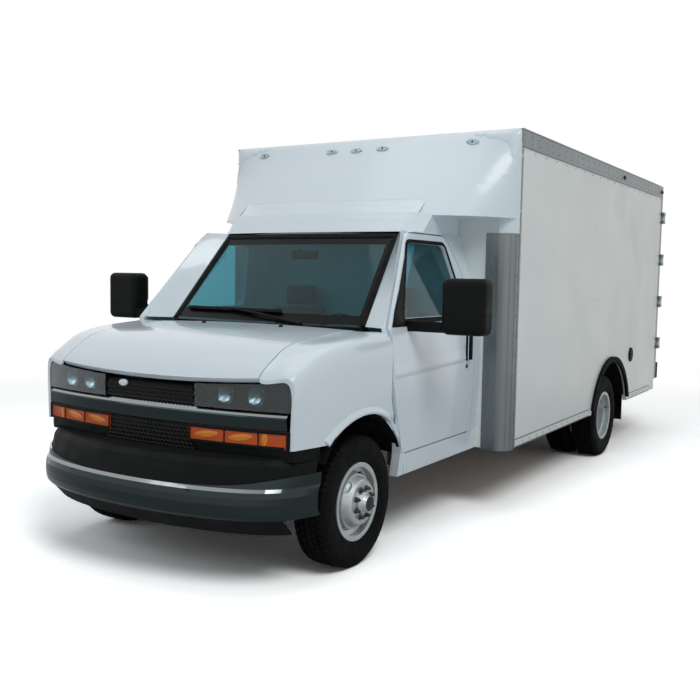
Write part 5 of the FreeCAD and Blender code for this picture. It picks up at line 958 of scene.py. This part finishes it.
def wheels():
    """Road tyres in place of the plain ones, two on each rear wheel."""
    front = sum(p.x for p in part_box("front_tyre_left")) / 2 * 1000
    low, high = [p.x * 1000 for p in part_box("rear_tyres_left")]
    half = 223 / 2
    for side, sign in SIDES:
        tyre(Form(), sign * front, 0).done("road_tyre_front_" + side, "front_wheel_" + side, "tyre",
                                           sharp=28, replaces=("front_tyre_" + side,))
        pair = Form()
        for x in (low + half, high - half):
            tyre(pair, sign * x, REAR_AXLE_MM)
        pair.done("road_tyres_rear_" + side, "rear_wheels_" + side, "tyre", sharp=28,
                  replaces=("rear_tyres_" + side,))


def brake_drums():
    """The dark drum behind each front wheel's hand holes."""
    drum = Form().lathe(at(0, 0, HUB_Z_MM), LEFTWARD,
                        [(0.098, 0.79), (0.160, 0.79), (0.166, 0.80), (0.168, 0.862), (0.165, 0.867),
                         (0.098, 0.867)], 48, closed=True)
    drum.pair("brake_drum_", "front_wheel_%s", "drum", "steel")


def wheel_nuts():
    """Eight nuts on studs, a valve and a hub cap, set on each outer wheel disc."""
    bolt_circle, valve_circle, valve_turn = 82.5, 186, 0.3
    for end, body, rim, y in (("front_", "front_wheel_%s", ["front_rim_left"], 0),
                              ("rear_", "rear_wheels_%s", ["rear_rims_left"], REAR_AXLE_MM)):
        nuts, cap = Form(), Form()
        around = [(y + bolt_circle * math.cos(turn + math.pi / 8),
                   HUB_Z_MM + bolt_circle * math.sin(turn + math.pi / 8)) for turn in turns(8)]
        for place, _ in looks("left", rim, around):
            nuts.lathe(place, LEFTWARD, [(0.0165, -0.002), (0.0165, 0.003), (0.014, 0.006)], 16)
            nuts.lathe(place, LEFTWARD, [(0.0125, 0.004), (0.0125, 0.020), (0.010, 0.024), (0.0065, 0.0245),
                                         (0.006, 0.031), (0.003, 0.032)], 6)
        valve = (y + valve_circle * math.cos(valve_turn), HUB_Z_MM + valve_circle * math.sin(valve_turn))
        for place, _ in looks("left", rim, [valve]):
            nuts.lathe(place, (1, -0.2, -0.1), [(0.006, -0.004), (0.0045, 0.012), (0.0035, 0.03),
                                                (0.0015, 0.034)], 12)
        nuts.pair("wheel_nuts_" + end, body, "nut", "steel")
        for place, _ in looks("left", rim, [(y, HUB_Z_MM)]):
            cap.lathe(place, LEFTWARD, [(0.041, -0.012), (0.041, 0.0005), (0.037, 0.0015), (0.035, 0.0008),
                                        (0.028, 0.0012), (0.012, 0.0025), (0.004, 0.0028)], 40)
            cap.pair("hub_cap_" + end, body, "chrome", "chrome")


# ---- Box body ----
HALF_WIDTH_MM = 1219
REAR_ARCH_Y = 4065


def body_fasteners():
    """Screws where the photograph shows them along the wall and its rails, on both sides."""
    # Their places in an enlarged view of the photograph, and where that view begins
    enlarged, view_across, view_down = 4.48, 500, 120
    places = ((98, 160), (83, 344), (93, 408), (78, 480), (85, 838), (82, 1115), (100, 1305), (172, 1280),
              (243, 1253), (305, 1225), (365, 1210), (408, 1030), (430, 1063), (430, 1140), (413, 1190),
              (475, 1052), (550, 1030), (570, 990), (430, 272), (585, 327), (424, 472), (436, 472),
              (583, 500), (419, 808), (431, 808), (575, 800), (630, 1108), (660, 1105), (685, 1030))
    spots = [seen(["side_walls", "body_rails", "corner_posts", "rear_frame"],
                  view_across + across / enlarged, view_down + down / enlarged) for across, down in places]
    screws = Form().heads([spot for spot in spots if spot and spot[0].x > 1.1], 0.008, 0.004)
    screws.both_sides().done("wall_screws", "chassis", "white_panel", sharp=40)
    along = range(1640, 1640 + 29 * 148, 148)
    low_row = [(y, 478) for y in along if abs(y - REAR_ARCH_Y) > 640]
    spots = looks("left", ["body_rails"], [(y, z) for y in along for z in (2556, 2604)])
    spots += looks("left", ["body_rails", "side_walls"], low_row)
    spots += looks("left", ["side_walls"], [(y, 2500) for y in range(1640, 1640 + 19 * 230, 230)])
    rivets = Form().heads(spots, 0.0065, 0.003, 8)
    rivets.both_sides().done("rail_rivets", "chassis", "aluminium", sharp=40)
    heights = range(520, 520 + 11 * 136, 136)
    spots = looks("front", ["corner_posts"], [(1030, z) for z in heights])
    spots += looks("left", ["corner_posts", "side_walls"], [(1592, z + 40) for z in heights])
    posts = Form().heads(spots, 0.0075, 0.0035)
    posts.both_sides().done("post_screws", "chassis", "aluminium", sharp=40)


def body_strips():
    """Ribs of the corner posts, the wall's front strip, the rail's lips and the skirt rail's beads."""
    far_apart = 0.3
    ribs, strips = Form(), Form()
    for x in (1046, 1060):
        ribs.lay("front", ["corner_posts"], [(x, 445), (x, 1930)], flat_bead(0.005, 0.003), far_apart)
    for lean in (20, 45, 70):
        toward = Vector((-math.sin(math.radians(lean)), math.cos(math.radians(lean)), 0))
        line = [at(1114, 1605, z) - toward * 0.6 for z in (446, 1930)]
        ribs.sweep(met(["corner_posts"], spaced(line, far_apart), toward), flat_bead(0.004, 0.0022))
    ribs.both_sides().done("post_ribs", "chassis", "aluminium")
    strips.lay("left", ["side_walls"], [(1622, 452), (1622, 2520)], flat_bead(0.026, 0.0025), far_apart)
    for z, high in ((2527, 0.005), (2640, 0.004)):
        strips.lay("left", ["body_rails"], [(1610, z), (5875, z)], flat_bead(0.010, high), far_apart)
    for first, last in ((1625, 3390), (4750, 5870)):
        for z in (508, 455):
            strips.lay("left", ["side_walls", "body_rails"], [(first, z), (last, z)],
                       flat_bead(0.008, 0.004), far_apart)
    strips.both_sides().done("body_strips", "chassis", "aluminium")


def side_markers():
    """Small clearance lamps on the roof rail: clear ahead, red at the rear corner."""
    for name, y, colour in (("side_marker", 4260, "bulb"), ("side_marker_rear", 5800, "red")):
        place = look("left", ["body_rails", "rear_frame"], y, 2582)[0]
        for part, rows, finish, slot in (
                ("_base", ((1.0, -0.004), (1.0, 0.004), (0.86, 0.006)), "black_plastic", None),
                ("_lens", ((0.8, 0.004), (0.78, 0.010), (0.6, 0.016), (0.3, 0.019)), colour, "lamp")):
            form = Form().ovals(place, (REARWARD, UPWARD, LEFTWARD), (0.034, 0.020), rows)
            form.both_sides().done(name + part, "chassis", finish, slot)


def cap_lamp_bases():
    """The pale seat and the dark bulb spot of each marker lamp on the front cap."""
    seats_made, bulbs = Form(), Form()
    for share, z in ((0.0, 2540), (0.177, 2543), (-0.177, 2543), (0.73, 2560), (-0.73, 2560)):
        place, out = look("front", ["front_cap"], share * HALF_WIDTH_MM, z)
        side = (LEFTWARD - out * LEFTWARD.dot(out)).normalized()
        seats_made.ovals(place, (side, out.cross(side), out), (0.047, 0.024),
                         ((1.0, -0.002), (1.0, 0.003), (0.9, 0.005)))
        bulbs.lathe(place + out * 0.004, out, [(0.007, -0.002), (0.007, 0.002), (0.005, 0.003)], 16)
    seats_made.done("cap_lamp_seats", "chassis", "marker", "lamp")
    bulbs.done("cap_lamp_bulbs", "chassis", "seal", "rubber")


def cap_brow():
    """The cap's smooth brow over the windshield, and its full corners up to the roof edge."""
    cap, tuck = ["front_cap"], Vector((0, 0.004, 0))
    heights, proud = (1992, 2018, 2096, 2120, 2146), (0.0002, 0.0016, 0.0022, 0.0012, 0.0002)
    rows = []
    for x in evenly(-744, 744, 48):
        spots = looks("front", cap, [(x, z) for z in heights])
        if len(spots) < len(heights):
            continue
        first, second, third, fourth, fifth = [spot[0] + Vector((0, -out, out * 0.7))
                                               for spot, out in zip(spots, proud)]
        if third.y - second.y > 0.2:
            continue
        bend = [second.lerp(third, share) for share in (0.25, 0.5, 0.75)]
        rows.append([first + tuck, first, second] + bend + [third, fourth, fifth, fifth + tuck])
    form = Form().tube(rows)
    # The corners: from the cap's rounded shoulder out to the edges of the box
    corner_x, corner_z, box_half, box_top = 0.905, 2.380, 1.2165, 2.6425
    centre = at(corner_x * 1000, AHEAD_OF_IT, corner_z * 1000)
    wall_y, edge_y = at(0, 1598, 0).y, at(0, 1604, 0).y
    rows = []
    for turn in arc(-4, 94, 24):
        lean = Vector((math.cos(turn), 0, math.sin(turn)))
        reach, inside = 0.1, None
        while reach < 0.42:
            found = meet(cap, centre + lean * reach, REARWARD)
            if not found or found[0].y > wall_y:
                break
            inside = reach
            reach += 0.01
        if inside is None:
            continue
        far = min((box_half - corner_x) / lean.x if lean.x > 0.01 else 9,
                  (box_top - corner_z) / lean.z if lean.z > 0.01 else 9)
        start = meet(cap, centre + lean * max(0.1, inside - 0.03), REARWARD)[0] + Vector((0, -0.0025, 0))
        end = centre + lean * far
        end.y = edge_y
        middle = [start.lerp(end, share) - REARWARD * 0.012 * math.sin(math.pi * share)
                  for share in (0.3, 0.6, 0.85)]
        rows.append([start + tuck, start] + middle + [end, end + tuck])
    corner = Form().tube(rows).both_sides()
    form.add(corner.points, corner.faces).done("cap_brow", "chassis", "fibreglass", sharp=50)


def filler_cap():
    """The fuel cap with its grip and the rubber ring round it."""
    centre = look("left", ["fuel_filler"], 4750, 897)[0]
    ring = Form().lathe(centre, LEFTWARD, [(0.069, -0.004), (0.069, 0.003), (0.064, 0.006), (0.058, 0.005),
                                           (0.056, 0.0005), (0.056, -0.004)], 48)
    ring.done("filler_ring", "chassis", "rubber")
    cap = Form().lathe(centre, LEFTWARD, [(0.054, -0.003), (0.054, 0.0005), (0.044, 0.001),
                                          (0.040, 0.0045), (0.034, 0.006), (0.01, 0.006)], 48)
    cap.block(centre + Vector((0.003, -0.032, -0.008)), centre + Vector((0.012, 0.032, 0.008)))
    cap.done("filler_cap", "chassis", "black_plastic", bevel=0.002)


def flare_studs():
    """Studs along the upper part of the flares of the rear arches."""
    radius, centre_z = 620, 275
    around = [(REAR_ARCH_Y + radius * math.cos(turn), centre_z + radius * math.sin(turn))
              for turn in arc(8, 172, 14)]
    studs = Form().heads(looks("left", ["arch_flares"], around), 0.007, 0.003)
    studs.both_sides().done("flare_studs", "chassis", "rubber")


def rear_dress():
    """Lamp lenses, door seals and the lock's plate of the rear end."""
    lenses, rims = Form(), Form()
    place = look("rear", ["body_lamps"], 1009, 660)[0]
    for reach, high in ((0.05, 0.012), (0.03, 0.016)):
        lenses.lathe(place, REARWARD, [(reach, -0.003), (reach, high * 0.5), (reach * 0.9, high * 0.9),
                                       (reach * 0.3, high)], 36)
    rims.lathe(place, REARWARD, [(0.062, -0.012), (0.062, 0.001), (0.057, 0.005), (0.052, 0.004),
                                 (0.051, -0.002)], 36)
    for place, _ in looks("rear", ["body_lamps"], [(x, 2588) for x in (1179, 213, 0.001)]):
        lenses.lathe(place, REARWARD, [(0.036, -0.002), (0.034, 0.005), (0.022, 0.009), (0.006, 0.010)], 28)
    lenses.both_sides().done("rear_lenses", "chassis", "red", "lamp")
    rims.both_sides().done("rear_lamp_rims", "chassis", "rubber")
    inset = 0.014
    for side, sign in SIDES:
        door, body = ["rear_door_" + side], "rear_door_%s_body" % side
        low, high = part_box("rear_door_" + side)
        y = meet(door, Vector(((low.x + high.x) / 2 - sign * 0.25, 5.0, 1.9)), -REARWARD)[0].y
        near, far = sorted((abs(low.x), abs(high.x)))
        near, far, foot, top = near + inset, min(far, 1.17) - inset, low.z + inset, high.z - inset
        corners = rounded([(near, foot), (far, foot), (far, top), (near, top)], 0.03, 4)
        seal = Form().sweep([(Vector((sign * p.x, y, p.y)), REARWARD) for p in corners],
                            flat_bead(0.018, 0.005), closed=True)
        seal.done("rear_door_seal_" + side, body, "seal", "rubber")
        if sign > 0:
            place = look("rear", door, 160, 1250)[0]
            x = place.x
            plate = Form().block((x - 0.07, place.y - 0.002, 1.16), (x + 0.07, place.y + 0.004, 1.34))
            plate.block((x - 0.018, place.y + 0.003, 1.19), (x + 0.018, place.y + 0.02, 1.31))
            plate.done("lock_plate", body, "aluminium", bevel=0.004)


# ---- Inside the cab ----
def cushion(name, low, high, channels):
    """A stuffed pad between two corners: rounded, crowned, pulled in at its sewn channels."""
    count, crown = 22, 0.20
    row_length = count + 1
    middle, half = (low + high) / 2, (high - low) / 2
    thin = min(range(3), key=lambda axis: half[axis])
    wide, long = [axis for axis in range(3) if axis != thin]
    points, faces = [], []
    for face_sign in (1, -1):
        base = len(points)
        for row in range(row_length):
            for column in range(row_length):
                u, v = 2 * row / count - 1, 2 * column / count - 1
                reach = math.sqrt(max(0.0, 1 - max(abs(u), abs(v)) ** 6))
                pull = (1 - 0.035 * (1 - abs(u) ** 8) * (abs(v) > 0.999)
                        - 0.035 * (1 - abs(v) ** 8) * (abs(u) > 0.999))
                pull *= 1 - 0.05 * abs(u) ** 6 * abs(v) ** 6
                rise = 0.80 + crown * (1 - u * u) * (1 - v * v)
                for place in channels:
                    rise -= 0.10 * math.exp(-((v - place) / 0.035) ** 2) * (face_sign > 0)
                point = Vector((0, 0, 0))
                point[wide], point[long] = half[wide] * u * pull, half[long] * v * pull
                point[thin] = face_sign * half[thin] * min(1.0, rise) * (0.35 + 0.65 * reach)
                points.append(middle + point)
        for row in range(count):
            for column in range(count):
                a = base + row * row_length + column
                quad = (a, a + row_length, a + row_length + 1, a + 1)
                faces.append(quad if face_sign > 0 else tuple(reversed(quad)))
    rim = (list(range(count)) + [row * row_length + count for row in range(count)]
           + [count * row_length + column for column in range(count, 0, -1)]
           + [row * row_length for row in range(count, 0, -1)])
    other = row_length ** 2
    faces += [(a, b, b + other, a + other) for a, b in zip(rim, rim[1:] + rim[:1])]
    piece = Form().add(points, faces).done(name, "chassis", "cloth", sharp=80)
    smooth = piece.modifiers.new("round", "SUBSURF")
    smooth.levels = 1
    smooth.render_levels = 1
    return piece


def seats():
    """Two seats of padded cushion, back and head rest on a black base."""
    low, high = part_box("seats")
    floor, front, rear = low.z, low.y, high.y
    pads, made = [], []
    for side, sign in SIDES:
        x = sign * 0.42
        for part, half, y_low, z_low, y_high, z_high, channels in (
                ("cushion", 0.245, front + 0.005, 0.850, front + 0.515, 0.988, (-0.35, 0.35)),
                ("back", 0.235, rear - 0.155, 0.97, rear - 0.02, 1.40, (-0.4, 0.3)),
                ("head", 0.125, rear - 0.13, 1.40, rear - 0.03, 1.555, ())):
            pads.append(cushion("seat_%s_%s" % (part, side), Vector((x - half, y_low, z_low)),
                                Vector((x + half, y_high, z_high)), channels))
        base = Form()
        base.block((x - 0.17, front + 0.04, floor), (x + 0.17, front + 0.46, floor + 0.10))
        base.block((x - 0.14, front + 0.06, floor + 0.10), (x + 0.14, front + 0.44, 0.858))
        base.block((x - 0.20, front + 0.02, 0.838), (x + 0.20, rear - 0.02, 0.862))
        for across in (-0.2, 0.17):
            base.block((x + across, rear - 0.12, 0.80), (x + across + 0.03, rear - 0.04, 1.02))
        made.append(base.done("seat_base_" + side, "chassis", "black_plastic", bevel=0.008))
    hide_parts("seats")


def dash_details():
    """Vents, the radio panel with its two knobs and the gauge hood on the dashboard."""
    start_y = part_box("dashboard")[0].y + 3.0
    form, dash = Form(), ["dashboard"]
    rear = max(place.y for place, _ in met(dash, [Vector((x, start_y, 1.12)) for x in (0.42, 0.0, -0.45)],
                                           -REARWARD))
    for x in (-0.74, -0.12, 0.10, 0.74):
        for place, _ in met(dash, [Vector((x, start_y, 1.18))], -REARWARD):
            y = place.y
            form.block((x - 0.055, y - 0.004, 1.15), (x + 0.055, y + 0.008, 1.215))
            for row in range(4):
                z = 1.158 + row * 0.014
                form.block((x - 0.048, y + 0.006, z), (x + 0.048, y + 0.013, z + 0.006))
    y = meet(dash, Vector((-0.02, start_y, 1.05)), -REARWARD)[0].y
    form.block((-0.10, y - 0.004, 1.0), (0.08, y + 0.01, 1.12))
    for x in (-0.07, 0.05):
        form.lathe(Vector((x, y + 0.008, 1.06)), REARWARD, [(0.014, 0), (0.014, 0.012), (0.010, 0.016)], 24)
    form.done("dash_panels", "chassis", "black_plastic", bevel=0.002)
    hood_z = meet(dash, Vector((0.42, rear - 0.06, 2.0)), -UPWARD)[0].z - 0.005
    rings = []
    for step, turn in enumerate(arc(0, 180, 12)):
        x = 0.42 - 0.19 * math.cos(turn)
        z = hood_z + (0.035 * math.sin(turn) ** 0.7 if 0 < step < 12 else 0.0)
        rings.append([Vector((x, rear - 0.16, z - 0.01)), Vector((x, rear - 0.01, z)),
                      Vector((x, rear - 0.012, z - 0.012)), Vector((x, rear - 0.15, z - 0.02))])
    Form().tube(rings).done("gauge_hood", "chassis", "trim_grey")


def inner_mirror():
    """The mirror that hangs behind the middle of the windshield."""
    place = look("front", ["windshield"], 0, 1800)[0]
    form = Form().block((place.x - 0.11, place.y + 0.085, 1.735), (place.x + 0.11, place.y + 0.105, 1.795))
    form.lathe(Vector((0, place.y + 0.09, 1.77)), (0, -1, 0.35),
               [(0.009, -0.01), (0.008, 0.05), (0.012, 0.075)], 16)
    form.done("inner_mirror", "chassis", "black_plastic", bevel=0.008, segments=3)


PIECES = (window_surround, door_sails, door_fittings, mirrors, windshield_trim, wipers, cowl, lamp_insides,
          turn_lamp_trim, grille_cap, hood_fittings, arch_lips, wheels, wheel_nuts, body_fasteners,
          body_strips, side_markers, cap_lamp_bases, filler_cap, flare_studs, rear_dress, seats,
          dash_details, inner_mirror, fascia, grille_net, wheel_liners, cap_brow, brake_drums)

dress_nodes()
for make in PIECES:
    make()
add_camera()
add_world()
add_floor()
add_lights()
bpy.context.scene.view_settings.view_transform = "Standard"
